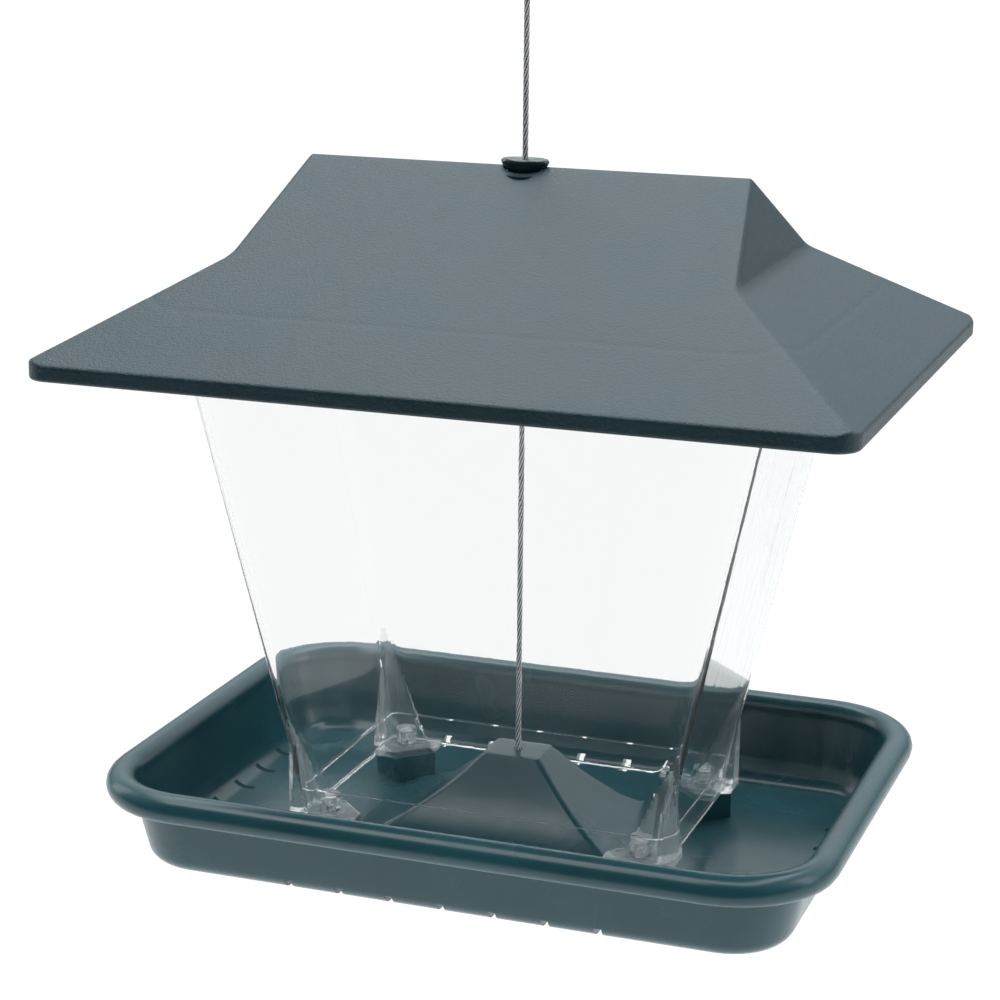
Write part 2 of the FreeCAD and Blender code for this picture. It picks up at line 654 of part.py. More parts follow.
def make_cable():
    """The cable's tube: straight runs joined by tangent arcs, swept with one round section."""
    points = [Vector(x, 0, z) for x, z in CABLE_ROUTE]
    edges = []
    reached = points[0]
    for before, corner, after in zip(points, points[1:], points[2:]):
        towards = (before - corner).normalize()
        onwards = (after - corner).normalize()
        half_turn = (math.pi - towards.getAngle(onwards)) / 2
        shorter_run = min((before - corner).Length, (after - corner).Length)
        tangent = ARC_SHARE_OF_RUN * shorter_run
        radius = tangent / math.tan(half_turn)
        print(f"cable bend at x {corner.x:.1f}, z {corner.z:.1f}: radius {radius:.1f} mm")
        start = corner + towards * tangent
        end = corner + onwards * tangent
        bisector = (towards + onwards).normalize()
        middle = corner + bisector * (radius / math.cos(half_turn) - radius)
        edges.append(Part.LineSegment(reached, start).toShape())
        edges.append(Part.Arc(start, middle, end).toShape())
        reached = end
    edges.append(Part.LineSegment(reached, points[-1]).toShape())
    path = Part.Wire(edges)
    cable_radius = size_of("sizes.cable_radius")
    section = Part.Wire(Part.makeCircle(cable_radius, points[0], Vector(0, 0, 1)))
    tube = path.makePipeShell([section], True, True)
    expected = math.pi * cable_radius ** 2 * path.Length
    print(f"cable length {path.Length:.1f} mm, tube volume / section x length {tube.Volume / expected:.4f}")
    cable = doc.addObject("Part::Feature", "cable")
    cable.Shape = tube
    cable.Placement = Placement(Vector(0, 0, 0), Rotation())
    cable.Label = "cable"
    return cable


nodes = [make_roof(), make_roof_cap(), make_hopper(), make_tray()]
for corner_name, (side_x, side_y) in CORNERS.items():
    nodes.append(make_screw(f"screw_{corner_name}", side_x, side_y))
cone_underside = "sizes.cone_height - sizes.cone_wall"
nodes.append(make_tube(
    "stop_washer", outline_ring("sizes.washer_radius", "sizes.cable_hole_radius"),
    f"{cone_underside} - sizes.washer_thickness", "sizes.washer_thickness"))
nodes.append(make_tube(
    "cable_stop", outline_ring("sizes.stop_radius", "sizes.cable_radius + sizes.crimp_clearance"),
    f"{cone_underside} - sizes.washer_thickness - sizes.stop_length", "sizes.stop_length"))
nodes.append(make_ferrule())
nodes.append(make_cable())
doc.recompute()

failed = [item.Label for item in doc.Objects if "Invalid" in item.State or "Error" in item.State]
if failed:
    raise RuntimeError(f"these objects did not compute: {failed}")
for node in nodes:
    if node.Shape.isNull() or not node.Shape.isValid():
        raise RuntimeError(f"{node.Label} has no valid shape")

os.makedirs("parts", exist_ok=True)
for node in nodes:
    node.Shape.exportStep(f"parts/{node.Label}.step")
    print(f"{node.Label}: {len(node.Shape.Solids)} solid, {node.Shape.Volume / 1000:.2f} cm3")
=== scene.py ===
import math

import bmesh
import bpy
import numpy as np
from bpy.props import FloatProperty, FloatVectorProperty, PointerProperty
from mathutils import Matrix, Vector


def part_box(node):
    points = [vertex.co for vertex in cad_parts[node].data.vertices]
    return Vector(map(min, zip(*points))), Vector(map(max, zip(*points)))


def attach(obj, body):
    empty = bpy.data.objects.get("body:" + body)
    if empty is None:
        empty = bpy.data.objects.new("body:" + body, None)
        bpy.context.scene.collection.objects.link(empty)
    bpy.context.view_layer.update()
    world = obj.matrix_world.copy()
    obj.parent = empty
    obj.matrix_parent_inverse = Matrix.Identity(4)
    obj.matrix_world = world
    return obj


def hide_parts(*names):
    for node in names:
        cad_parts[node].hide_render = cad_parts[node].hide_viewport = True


bl_info = {
    "name": "Hanging hopper bird feeder",
    "version": (1, 0, 0),
    "blender": (4, 5, 0),
    "location": "3D View > Sidebar > Feeder",
    "description": "Builds the visible surfaces of a hanging bird feeder around its packed frame",
    "category": "Object",
}

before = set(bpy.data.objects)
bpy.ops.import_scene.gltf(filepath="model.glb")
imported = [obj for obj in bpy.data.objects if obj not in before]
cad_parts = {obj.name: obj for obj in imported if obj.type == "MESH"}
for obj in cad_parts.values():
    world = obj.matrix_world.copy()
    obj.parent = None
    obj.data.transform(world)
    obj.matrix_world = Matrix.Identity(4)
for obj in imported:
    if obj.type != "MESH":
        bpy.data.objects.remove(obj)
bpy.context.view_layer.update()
ROOF_LOW, ROOF_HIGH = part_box("roof")
CAP_LOW, CAP_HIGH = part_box("roof_cap")
HOPPER_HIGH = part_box("hopper")[1]
TRAY_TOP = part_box("tray")[1][2]
STOP_LOW, STOP_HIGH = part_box("cable_stop")
FERRULE_LOW, FERRULE_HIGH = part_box("loop_ferrule")
SCREW_NODES = [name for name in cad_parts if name.startswith("screw_")]

MM = 0.001
CAP_SEAT = CAP_LOW[2] + 5.0 * MM
CABLE_HOLE = 1.5 * MM

# The cable's route in the XZ plane, in metres: up the middle, round the loop and down again.
# The second point holds the long stretch straight below the loop.
CABLE_ROUTE = (
    (0.0, 0.0208),
    (0.0, 0.3260),
    (0.0, 0.3390),
    (-0.0010, 0.3480),
    (-0.01125, 0.3594),
    (-0.01125, 0.3698),
    (-0.00395, 0.3771),
    (0.00645, 0.3771),
    (0.01375, 0.3698),
    (0.01375, 0.3594),
    (0.0035, 0.3480),
    (0.0025, 0.3390),
    (0.0025, 0.3215),
)


# Sizes and colours ---------------------------------------------------------------------------

def length(name, description, millimetres):
    return FloatProperty(name=name, description=description, default=millimetres * MM, unit="LENGTH")


def colour(name, description, value):
    return FloatVectorProperty(
        name=name, description=description, default=value, subtype="COLOR", size=3, min=0.0, max=1.0)


class RoofSizes(bpy.types.PropertyGroup):
    eave_height: length("Eave height", "Height of the eave's upper edge", 196.2)
    gable_height: length("Gable height", "Height of the foot of the steep gable ends", 229.9)
    gable_half: length("Gable foot", "Half the distance between the feet of the gables", 94.7)
    ridge_half: length("Ridge", "Half the length of the ridge", 85.4)
    plan_corner: length("Corner", "Radius of the eave's corners in plan", 9.0)
    wall: length("Wall", "Thickness of the roof's wall", 2.4)
    eave_edge: length("Eave edge", "Rounding of the fascia's upper edge", 0.9)
    ridge_edge: length("Ridge edge", "Rounding of the ridge", 1.0)
    gable_edge: length("Gable edge", "Height over which the gable edges blend", 3.6)
    hip_edge: length("Hip edge", "Height over which the hips blend", 1.4)
    gable_bend: length("Gable bend", "Height over which the gable runs into the skirt", 4.0)
    mark_half_x: length("Mark length", "Half length of the mark that the inner wall leaves", 121.0)
    mark_half_y: length("Mark width", "Half width of the mark that the inner wall leaves", 79.8)
    mark_corner: length("Mark corner", "Corner radius of the mark that the inner wall leaves", 18.0)
    mark_depth: length("Mark depth", "Depth of the mark that the inner wall leaves", 0.12)
    mark_width: length("Mark breadth", "Breadth of the mark to either side of its line", 1.2)


class HopperSizes(bpy.types.PropertyGroup):
    wall: length("Wall", "Thickness of the clear walls", 2.2)
    lip: length("Lip", "Extra thickness of the wall's foot", 1.0)
    lip_height: length("Lip height", "Height of the ledge above the thick foot", 25.0)
    waist_height: length("Waist height", "Height where the walls begin to lean out", 42.0)
    waist_half_x: length("Waist length", "Half length at the waist", 76.5)
    waist_half_y: length("Waist width", "Half width at the waist", 50.8)
    foot_half_x: length("Foot length", "Half length at the foot", 73.0)
    foot_half_y: length("Foot width", "Half width at the foot", 48.5)
    foot_height: length("Foot height", "Height of the walls' lower edge", 14.0)
    low_corner: length("Lower corner", "Corner radius at the foot", 6.0)
    high_corner: length("Upper corner", "Corner radius at the top", 22.0)
    post_half_x: length("Post length", "Half length over the corner posts", 76.6)
    post_half_y: length("Post width", "Half width over the corner posts", 51.0)
    post_leg: length("Post leg", "Length of a post's leg at its foot", 15.0)
    post_tip: length("Post tip", "Length of a post's leg at its tip", 2.5)
    post_top: length("Post top", "Height of a post's tip", 60.0)


class TraySizes(bpy.types.PropertyGroup):
    rim_height: length("Rim height", "Height of the rolled rim's centre", 30.3)
    half_x: length("Length", "Half length over the wall at the rim", 132.0)
    half_y: length("Width", "Half width over the wall at the rim", 92.0)
    corner: length("Corner", "Corner radius of the wall at the rim", 30.2)
    draft: length("Draft", "How far the wall leans in from the rim to the bottom", 7.5)
    wall: length("Wall", "Thickness of the tray", 2.2)
    edge: length("Edge", "Rounding of the lower edge", 5.5)
    block_x: length("Block place, length", "Distance of a block from the middle along the length", 62.5)
    block_y: length("Block place, width", "Distance of a block from the middle across the width", 39.5)
    block_reach: length("Block", "Half the diagonal of a block", 13.0)
    block_height: length("Block height", "Height of a block's flat top", 13.0)
    plate_height: length("Plate height", "Height of the cone's flat top", 34.8)
    plate_half_x: length("Plate length", "Half length of the cone's flat top", 11.7)
    plate_half_y: length("Plate width", "Half width of the cone's flat top", 9.3)
    cone_wall: length("Cone wall", "Upright thickness of the cone", 2.8)
    slot_pitch: length("Slot pitch", "Distance from one drain slot to the next", 20.0)
    slot_width: length("Slot width", "Width of a drain slot", 3.0)
    slot_length: length("Slot length", "How far a slot runs in from the wall", 11.0)


class Finishes(bpy.types.PropertyGroup):
    roof_green: colour("Roof", "Dark green of the roof's moulding", (0.0080, 0.0370, 0.0480))
    tray_green: colour("Tray", "Dark green of the tray's moulding", (0.0180, 0.0900, 0.1080))
    cap_green: colour("Cap", "Dark green of the ridge plug", (0.010, 0.036, 0.038))
    clear_tint: colour("Clear plastic", "Tint of the hopper", (0.985, 0.992, 0.992))
    cable_grey: colour("Cable", "Grey of the steel wires", (0.90, 0.90, 0.90))
    zinc_grey: colour("Zinc", "Grey of the screws and the washer", (0.62, 0.62, 0.60))
    crimp_grey: colour("Crimp", "Grey of the crimped sleeves", (0.66, 0.67, 0.68))
    floor_white: colour("Floor", "Colour of the floor", (0.86, 0.86, 0.86))


# Shapes --------------------------------------------------------------------------------------

# Where a ring's points lie on its sides, closer together over a share near the ends, and on its
# quarter circles.
SIDE_END = 0.13
SIDE_SHARES = np.concatenate([
    np.linspace(0.0, SIDE_END, 17)[1:],
    np.linspace(SIDE_END, 1.0 - SIDE_END, 25)[1:],
    np.linspace(1.0 - SIDE_END, 1.0, 17)[1:-1],
])
ARC_STEPS = np.linspace(-1.0, 1.0, 13)
ARC_TURNS = math.pi / 4 * (1.0 + np.sign(ARC_STEPS) * np.abs(ARC_STEPS) ** 1.5)
BOX_SIDES = ((0, 1, 3, 2), (4, 6, 7, 5), (0, 4, 5, 1), (2, 3, 7, 6), (0, 2, 6, 4), (1, 5, 7, 3))
MERGE = 1e-6


def as_rows(*values):
    """Numbers and arrays as arrays of floats of one length."""
    return np.broadcast_arrays(*(np.atleast_1d(value).astype(float) for value in values))


def rounded_rings(half_x, half_y, radius):
    """Rounded rectangles, one for each entry of the arrays. Each corner is a quarter circle about
    (half_x - radius, half_y - radius), with its points closer together at the middle of the
    corner, and each side is a straight line between two corners, with its points closer
    together near its ends. Returns an array of (ring, point, x and y)."""
    half_x, half_y, radius = as_rows(half_x, half_y, radius)
    arcs = []
    for quarter, (sign_x, sign_y) in enumerate([(1, 1), (-1, 1), (-1, -1), (1, -1)]):
        turn = ARC_TURNS + quarter * math.pi / 2
        x = sign_x * (half_x - radius)[:, None] + radius[:, None] * np.cos(turn)
        y = sign_y * (half_y - radius)[:, None] + radius[:, None] * np.sin(turn)
        arcs.append(np.stack([x, y], axis=-1))
    parts = []
    for quarter in range(4):
        start = arcs[quarter][:, -1:, :]
        end = arcs[(quarter + 1) % 4][:, :1, :]
        parts.append(arcs[quarter])
        parts.append(start + (end - start) * SIDE_SHARES[None, :, None])
    return np.concatenate(parts, axis=1)


def oval_rings(half_x, half_y, points):
    """Ellipses: x = half_x cos a and y = half_y sin a, for evenly spaced a."""
    turn = np.linspace(0.0, 2.0 * math.pi, points, endpoint=False)
    x = np.atleast_1d(half_x)[:, None] * np.cos(turn)
    y = np.atleast_1d(half_y)[:, None] * np.sin(turn)
    return np.stack([x, y], axis=-1)


def raised(rings, heights):
    """Give rings their heights: one for each ring, or one for each point."""
    heights = np.asarray(heights, dtype=float)
    if heights.ndim == 1:
        heights = np.repeat(heights[:, None], rings.shape[1], axis=1)
    return np.concatenate([rings, heights[:, :, None]], axis=2)


def grid_faces(rows, columns, close_rows):
    """Quads between neighbouring points of a grid whose columns close on themselves."""
    row = np.arange(rows if close_rows else rows - 1)[:, None]
    column = np.arange(columns)[None, :]
    after_row, after_column = (row + 1) % rows, (column + 1) % columns
    corners = [
        row * columns + column, row * columns + after_column,
        after_row * columns + after_column, after_row * columns + column,
    ]
    return np.stack(corners, axis=-1).reshape(-1, 4)


def make_piece(name, points, faces, sharp_degrees=35.0):
    """A mesh object from points and faces, merged, with its normals outwards, smooth except at
    edges sharper than the angle."""
    mesh = bpy.data.meshes.new(name)
    mesh.from_pydata(np.asarray(points).reshape(-1, 3).tolist(), [], list(faces))
    tidy_mesh(mesh, sharp_degrees)
    piece = bpy.data.objects.new(name, mesh)
    bpy.context.scene.collection.objects.link(piece)
    return piece


def tidy_mesh(mesh, sharp_degrees):
    """Merge doubles, drop faces that have no area, point the normals outwards."""
    work = bmesh.new()
    work.from_mesh(mesh)
    bmesh.ops.remove_doubles(work, verts=work.verts, dist=MERGE)
    bmesh.ops.dissolve_degenerate(work, edges=work.edges, dist=MERGE)
    bmesh.ops.recalc_face_normals(work, faces=work.faces)
    work.to_mesh(mesh)
    work.free()
    mesh.shade_smooth()
    mesh.set_sharp_from_angle(angle=math.radians(sharp_degrees))


def ring_piece(name, rings, close_rows=True, sharp_degrees=35.0):
    """A closed piece from rings: rows run over the outside and back through the inside."""
    rows, columns = rings.shape[:2]
    return make_piece(name, rings, grid_faces(rows, columns, close_rows), sharp_degrees)


def box_corners(low, high):
    """The eight corners of an upright box."""
    x, y, z = zip(low, high)
    return [(x[i], y[j], z[k]) for i in (0, 1) for j in (0, 1) for k in (0, 1)]


def several_boxes(boxes):
    """Boxes, from their eight corners each, as one list of points and one of faces."""
    points, faces = [], []
    for eight in boxes:
        faces += [tuple(len(points) + index for index in side) for side in BOX_SIDES]
        points += eight
    return points, faces


def prism(outline, low, high):
    """An upright closed prism over an outline of (x, y) points."""
    count = len(outline)
    bottom = [(x, y, low) for x, y in outline]
    top = [(x, y, high) for x, y in outline]
    sides = [(i, (i + 1) % count, count + (i + 1) % count, count + i) for i in range(count)]
    return bottom + top, [tuple(range(count))[::-1], tuple(range(count, 2 * count)), *sides]


def upright(name, outline, low, high):
    """A piece that is an upright prism over an outline."""
    return make_piece(name, *prism(outline, low, high))


def circle_outline(x, y, radius, points=40):
    turn = np.linspace(0.0, 2.0 * math.pi, points, endpoint=False)
    return list(zip(x + radius * np.cos(turn), y + radius * np.sin(turn)))


def finished(piece, sharp_degrees=35.0):
    """Replace a piece's mesh by the mesh that its modifiers give."""
    graph = bpy.context.evaluated_depsgraph_get()
    mesh = bpy.data.meshes.new_from_object(piece.evaluated_get(graph))
    piece.modifiers.clear()
    piece.data = mesh
    tidy_mesh(mesh, sharp_degrees)
    return piece


def combined(piece, other, operation, sharp_degrees=35.0):
    """Join another closed piece to this one, or cut it away, and remove the other."""
    modifier = piece.modifiers.new("join", "BOOLEAN")
    modifier.operation = operation
    modifier.solver = "EXACT"
    modifier.object = other
    finished(piece, sharp_degrees)
    bpy.data.objects.remove(other)
    return piece


def bevelled(piece, width, segments=2):
    """Round a piece's edges that are sharper than 30 degrees."""
    modifier = piece.modifiers.new("edges", "BEVEL")
    modifier.width = width
    modifier.segments = segments
    modifier.limit_method = "ANGLE"
    modifier.angle_limit = math.radians(30.0)
    return finished(piece)


def place(piece, body, material, nodes=()):
    """Give a piece its finish, its moving body and the CAD nodes that it stands for."""
    piece.data.materials.clear()
    piece.data.materials.append(material)
    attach(piece, body)
    if nodes:
        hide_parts(*nodes)


def smooth_min(a, b, blend):
    """The lower of two heights, rounded where they are within the blend of each other: the
    plain minimum less blend * h * (1 - h), with h running from 0 to 1 across the blend."""
    share = np.clip(0.5 + 0.5 * (b - a) / blend, 0.0, 1.0)
    return b + (a - b) * share - blend * share * (1.0 - share)


def smooth_max(a, b, blend):
    return -smooth_min(-a, -b, blend)


def smooth_step(value):
    value = np.clip(value, 0.0, 1.0)
    return value * value * (3.0 - 2.0 * value)


# Materials -----------------------------------------------------------------------------------

GROUP_OUTPUTS = {"Colour": "NodeSocketColor", "Roughness": "NodeSocketFloat", "Normal": "NodeSocketVector"}


def fill(tree, node, inputs):
    """Give a node its inputs by name or place: a socket is linked, anything else is set."""
    for key, value in inputs.items():
        if isinstance(value, bpy.types.NodeSocket):
            tree.links.new(value, node.inputs[key])
        else:
            node.inputs[key].default_value = value


def add_node(tree, kind, inputs=None, **settings):
    """A new node with its settings, and then its inputs."""
    node = tree.nodes.new(kind)
    for key, value in settings.items():
        setattr(node, key, value)
    fill(tree, node, inputs or {})
    return node


def coordinates(tree, kind="Object"):
    return add_node(tree, "ShaderNodeTexCoord").outputs[kind]


def parts_of(tree, vector):
    """The X, Y and Z of a vector."""
    return add_node(tree, "ShaderNodeSeparateXYZ", {0: vector}).outputs


def stretched(tree, vector, scale_z):
    """Coordinates squeezed along Z, so that a noise over them is drawn out along Z."""
    return add_node(tree, "ShaderNodeMapping", {"Vector": vector, "Scale": (1.0, 1.0, scale_z)}).outputs[0]


def noise(tree, vector, **inputs):
    return add_node(tree, "ShaderNodeTexNoise", {"Vector": vector, **inputs}).outputs["Fac"]


def bump(tree, height, distance, strength):
    inputs = {"Height": height, "Distance": distance, "Strength": strength}
    return add_node(tree, "ShaderNodeBump", inputs).outputs["Normal"]


def remap(tree, value, from_low=0.0, from_high=1.0, to_low=0.0, to_high=1.0, curve="LINEAR"):
    """A value moved from one range to another and kept within it."""
    inputs = dict(enumerate((value, from_low, from_high, to_low, to_high)))
    return add_node(tree, "ShaderNodeMapRange", inputs, interpolation_type=curve).outputs["Result"]


def calculate(tree, operation, *values):
    return add_node(tree, "ShaderNodeMath", dict(enumerate(values)), operation=operation).outputs[0]


def scaled(tree, tint, factor):
    """A colour times a factor."""
    return add_node(tree, "ShaderNodeVectorMath", {0: tint, "Scale": factor}, operation="SCALE").outputs[0]


def mixed(tree, kind, factor, first, second):
    """The first value turning into the second as the factor goes from 0 to 1."""
    inputs = {"Factor": factor, "A": first, "B": second}
    return add_node(tree, "ShaderNodeMix", inputs, data_type=kind).outputs["Result"]


def new_group(name, inputs):
    """A shader node group whose named inputs have a kind and a default each, and that puts out
    a colour, a roughness and a normal. Returns it, its inputs' sockets and its output node."""
    group = bpy.data.node_groups.new(name, "ShaderNodeTree")
    for label, (kind, default) in inputs.items():
        group.interface.new_socket(label, in_out="INPUT", socket_type=kind).default_value = default
    for label, kind in GROUP_OUTPUTS.items():
        group.interface.new_socket(label, in_out="OUTPUT", socket_type=kind)
    return group, group.nodes.new("NodeGroupInput").outputs, group.nodes.new("NodeGroupOutput")


def moulding_group():
    """Moulded plastic: a fine grain for the bump, soft flow patches in the colour, thin dust on
    what faces up, and a roughness that follows the patches."""
    group, given, out = new_group("moulded_plastic", {
        "Plastic": ("NodeSocketColor", (0.02, 0.06, 0.06, 1.0)),
        "Grain Size": ("NodeSocketFloat", 900.0),
        "Grain Height": ("NodeSocketFloat", 0.05),
        "Roughness": ("NodeSocketFloat", 0.4),
        "Dust": ("NodeSocketFloat", 0.1),
    })
    place_on = coordinates(group)
    grain = noise(group, place_on, Scale=given["Grain Size"], Detail=3.0, Roughness=0.6)
    flow = noise(group, place_on, Scale=26.0, Detail=4.0, Distortion=0.6)
    patch = remap(group, flow, from_low=0.3, from_high=0.7, to_low=0.88, to_high=1.12)
    facing = parts_of(group, add_node(group, "ShaderNodeNewGeometry").outputs["Normal"])
    upward = remap(group, facing["Z"], from_low=0.2)
    specks = noise(group, place_on, Scale=140.0, Detail=6.0)
    dust = calculate(group, "MULTIPLY", calculate(group, "MULTIPLY", upward, specks), given["Dust"])
    patch_share = 0.25
    base = calculate(group, "SUBTRACT", given["Roughness"], patch_share)
    dust_tint = (0.34, 0.38, 0.38, 1.0)
    fill(group, out, {
        "Colour": mixed(group, "RGBA", dust, scaled(group, given["Plastic"], patch), dust_tint),
        "Roughness": calculate(group, "MULTIPLY_ADD", patch, patch_share, base),
        "Normal": bump(group, grain, 0.0004, given["Grain Height"]),
    })
    return group


def metal_group():
    """Bare or plated metal: fine drawn scratches along Z, with dull patches."""
    group, given, out = new_group("worn_metal", {
        "Metal": ("NodeSocketColor", (0.6, 0.6, 0.6, 1.0)),
        "Roughness": ("NodeSocketFloat", 0.35),
        "Scratch Height": ("NodeSocketFloat", 0.2),
    })
    place_on = coordinates(group)
    scratch = noise(group, stretched(group, place_on, 0.12), Scale=2600.0, Detail=2.0)
    shade = remap(group, noise(group, place_on, Scale=300.0, Detail=4.0), to_low=0.7, to_high=1.25)
    fill(group, out, {
        "Colour": scaled(group, given["Metal"], shade),
        "Roughness": calculate(group, "MULTIPLY", given["Roughness"], shade),
        "Normal": bump(group, scratch, 0.0001, given["Scratch Height"]),
    })
    return group


def new_material(name):
    """A new material, its tree, its Principled shader and its output."""
    material = bpy.data.materials.new(name)
    material.use_nodes = True
    tree = material.node_tree
    return material, tree, tree.nodes["Principled BSDF"], tree.nodes["Material Output"]


def grouped(name, group_name, build, given, constants):
    """A material whose shader takes its colour, roughness and normal from a shared group, and
    the rest from constants. Returns it, its tree, its shader and the group's node."""
    material, tree, shader, _ = new_material(name)
    group = bpy.data.node_groups.get(group_name) or build()
    effect = add_node(tree, "ShaderNodeGroup", given, node_tree=group)
    results = {
        "Base Color": effect.outputs["Colour"],
        "Roughness": effect.outputs["Roughness"],
        "Normal": effect.outputs["Normal"],
    }
    fill(tree, shader, results | constants)
    return material, tree, shader, effect


def plastic(name, tint, grain_size, grain_height, roughness, dust, coat=0.0):
    """An opaque moulding in one colour."""
    return grouped(name, "moulded_plastic", moulding_group, {
        "Plastic": (*tint, 1.0),
        "Grain Size": grain_size,
        "Grain Height": grain_height,
        "Roughness": roughness,
        "Dust": dust,
    }, {"Coat Weight": coat, "Coat Roughness": 0.08})[0]


def metal(name, tint, roughness, scratch_height, metallic=1.0):
    """Worn metal in one colour."""
    return grouped(name, "worn_metal", metal_group, {
        "Metal": (*tint, 1.0),
        "Roughness": roughness,
        "Scratch Height": scratch_height,
    }, {"Metallic": metallic})


def wire_metal(name, tint):
    """The cable's wires: worn metal with painted shade in the grooves between the strands, read from
    v in its UV map; the strands' crowns keep the metal's colour."""
    material, tree, shader, effect = metal(name, tint, 0.45, 0.1, metallic=0.25)
    away = parts_of(tree, add_node(tree, "ShaderNodeUVMap", uv_map="along").outputs[0])["Y"]
    crown = remap(tree, away, from_low=0.82, from_high=0.96)
    # Painted shade: the grooves between the strands are darkened to near black, fading to the metal's colour
    # on the crowns.
    painted_groove_shade = (0.05, 0.055, 0.06, 1.0)
    painted_shade_tone = mixed(tree, "RGBA", crown, painted_groove_shade, effect.outputs["Colour"])
    fill(tree, shader, {"Base Color": painted_shade_tone})
    return material


def seen_through(tree, factor, first, second, output):
    """Send a mix of two shaders to the material's output."""
    mix = add_node(tree, "ShaderNodeMixShader", {0: factor, 1: first, 2: second})
    fill(tree, output, {"Surface": mix.outputs[0]})


def clear_plastic(name, tint, index, clearness, haze, streaks):
    """Clear moulding: glass that lets lamps light what is inside, with faint flow marks in its
    roughness and upright streaks in its bump. Less clearness lets the white of scratches and
    rough edges show."""
    material, tree, shader, output = new_material(name)
    upright = stretched(tree, coordinates(tree), 0.08)
    flow = noise(tree, upright, Scale=130.0, Detail=3.0, Distortion=0.8)
    fill(tree, shader, {
        "Transmission Weight": clearness,
        "IOR": index,
        "Base Color": (*tint, 1.0),
        "Roughness": remap(tree, flow, to_low=haze * 0.4, to_high=haze * 1.6),
        "Normal": bump(tree, flow, 0.002, streaks),
    })
    path = add_node(tree, "ShaderNodeLightPath").outputs
    unseen = calculate(tree, "MAXIMUM", path["Is Shadow Ray"], path["Is Diffuse Ray"])
    through = add_node(tree, "ShaderNodeBsdfTransparent", {"Color": (0.93, 0.95, 0.95, 1.0)})
    seen_through(tree, unseen, shader.outputs[0], through.outputs[0], output)
    return material


def finish_called(slot):
    """The finish for a material slot, made when it is first asked for."""
    name = f"{slot}_finish"
    if name in bpy.data.materials:
        return bpy.data.materials[name]
    tints = bpy.context.scene.feeder_finishes
    makers = {
        "roof_plastic": lambda: plastic(name, tints.roof_green, 1100.0, 0.70, 0.40, 0.03),
        "tray_plastic": lambda: plastic(name, tints.tray_green, 700.0, 0.06, 0.26, 0.05),
        "cap_plastic": lambda: plastic(name, tints.cap_green, 500.0, 0.02, 0.12, 0.02, coat=0.5),
        "clear_plastic": lambda: clear_plastic(name, tints.clear_tint, 1.17, 0.985, 0.02, 0.03),
        "clear_edges": lambda: clear_plastic(name, tints.clear_tint, 1.40, 0.84, 0.10, 0.40),
        "cable_steel": lambda: wire_metal(name, tints.cable_grey),
        "screw_steel": lambda: metal(name, tints.zinc_grey, 0.28, 0.15)[0],
        "crimp_metal": lambda: metal(name, tints.crimp_grey, 0.38, 0.30)[0],
    }
    return makers[slot]()


# Operators -----------------------------------------------------------------------------------

class FEEDER_OT_camera(bpy.types.Operator):
    """Place the camera in front of the feeder, a little to the right and above it"""
    bl_idname = "feeder.camera"
    bl_label = "Camera"

    def execute(self, context):
        lens = bpy.data.cameras.new("camera")
        sensor_width, focal_length = 36.0, 93.53
        lens.sensor_width = sensor_width
        lens.lens = focal_length
        lens.clip_end = 100.0
        camera = bpy.data.objects.new("camera", lens)
        context.scene.collection.objects.link(camera)
        place_at = (0.313114, -0.896658, 0.387265)
        right = (0.94040, 0.33995, 0.00899)
        up = (-0.09567, 0.23910, 0.96627)
        back = (0.32633, -0.90954, 0.25738)
        turned = Matrix((right, up, back)).transposed().to_4x4()
        camera.matrix_world = Matrix.Translation(place_at) @ turned
        context.scene.camera = camera
        return {"FINISHED"}


class FEEDER_OT_cable(bpy.types.Operator):
    """Twist the steel cable's strands round its route"""
    bl_idname = "feeder.cable"
    bl_label = "Cable"

    def execute(self, context):
        path = route_points()
        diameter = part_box("cable")[1][1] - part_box("cable")[0][1]
        cable = twisted_cable("cable_strands", path, diameter)
        place(cable, "cable_line", finish_called("cable_steel"), ["cable"])
        return {"FINISHED"}


def route_points():
    """Points of the smooth line through the route's control points."""
    curve = bpy.data.curves.new("cable_route", "CURVE")
    curve.dimensions = "3D"
    curve.resolution_u = 64
    spline = curve.splines.new("NURBS")
    spline.points.add(len(CABLE_ROUTE) - 1)
    spline.points.foreach_set("co", [value for x, z in CABLE_ROUTE for value in (x, 0.0, z, 1.0)])
    spline.order_u = 3
    spline.use_endpoint_u = True
    guide = bpy.data.objects.new("cable_route", curve)
    mesh = bpy.data.meshes.new_from_object(guide)
    points = np.empty(len(mesh.vertices) * 3)
    mesh.vertices.foreach_get("co", points)
    bpy.data.objects.remove(guide)
    bpy.data.curves.remove(curve)
    bpy.data.meshes.remove(mesh)
    points = points.reshape(-1, 3)
    return points if points[0][2] < points[-1][2] else points[::-1]


def directions(line):
    """The direction of a line of points at each of them."""
    tangent = np.gradient(line, axis=0)
    return tangent / np.linalg.norm(tangent, axis=1)[:, None]


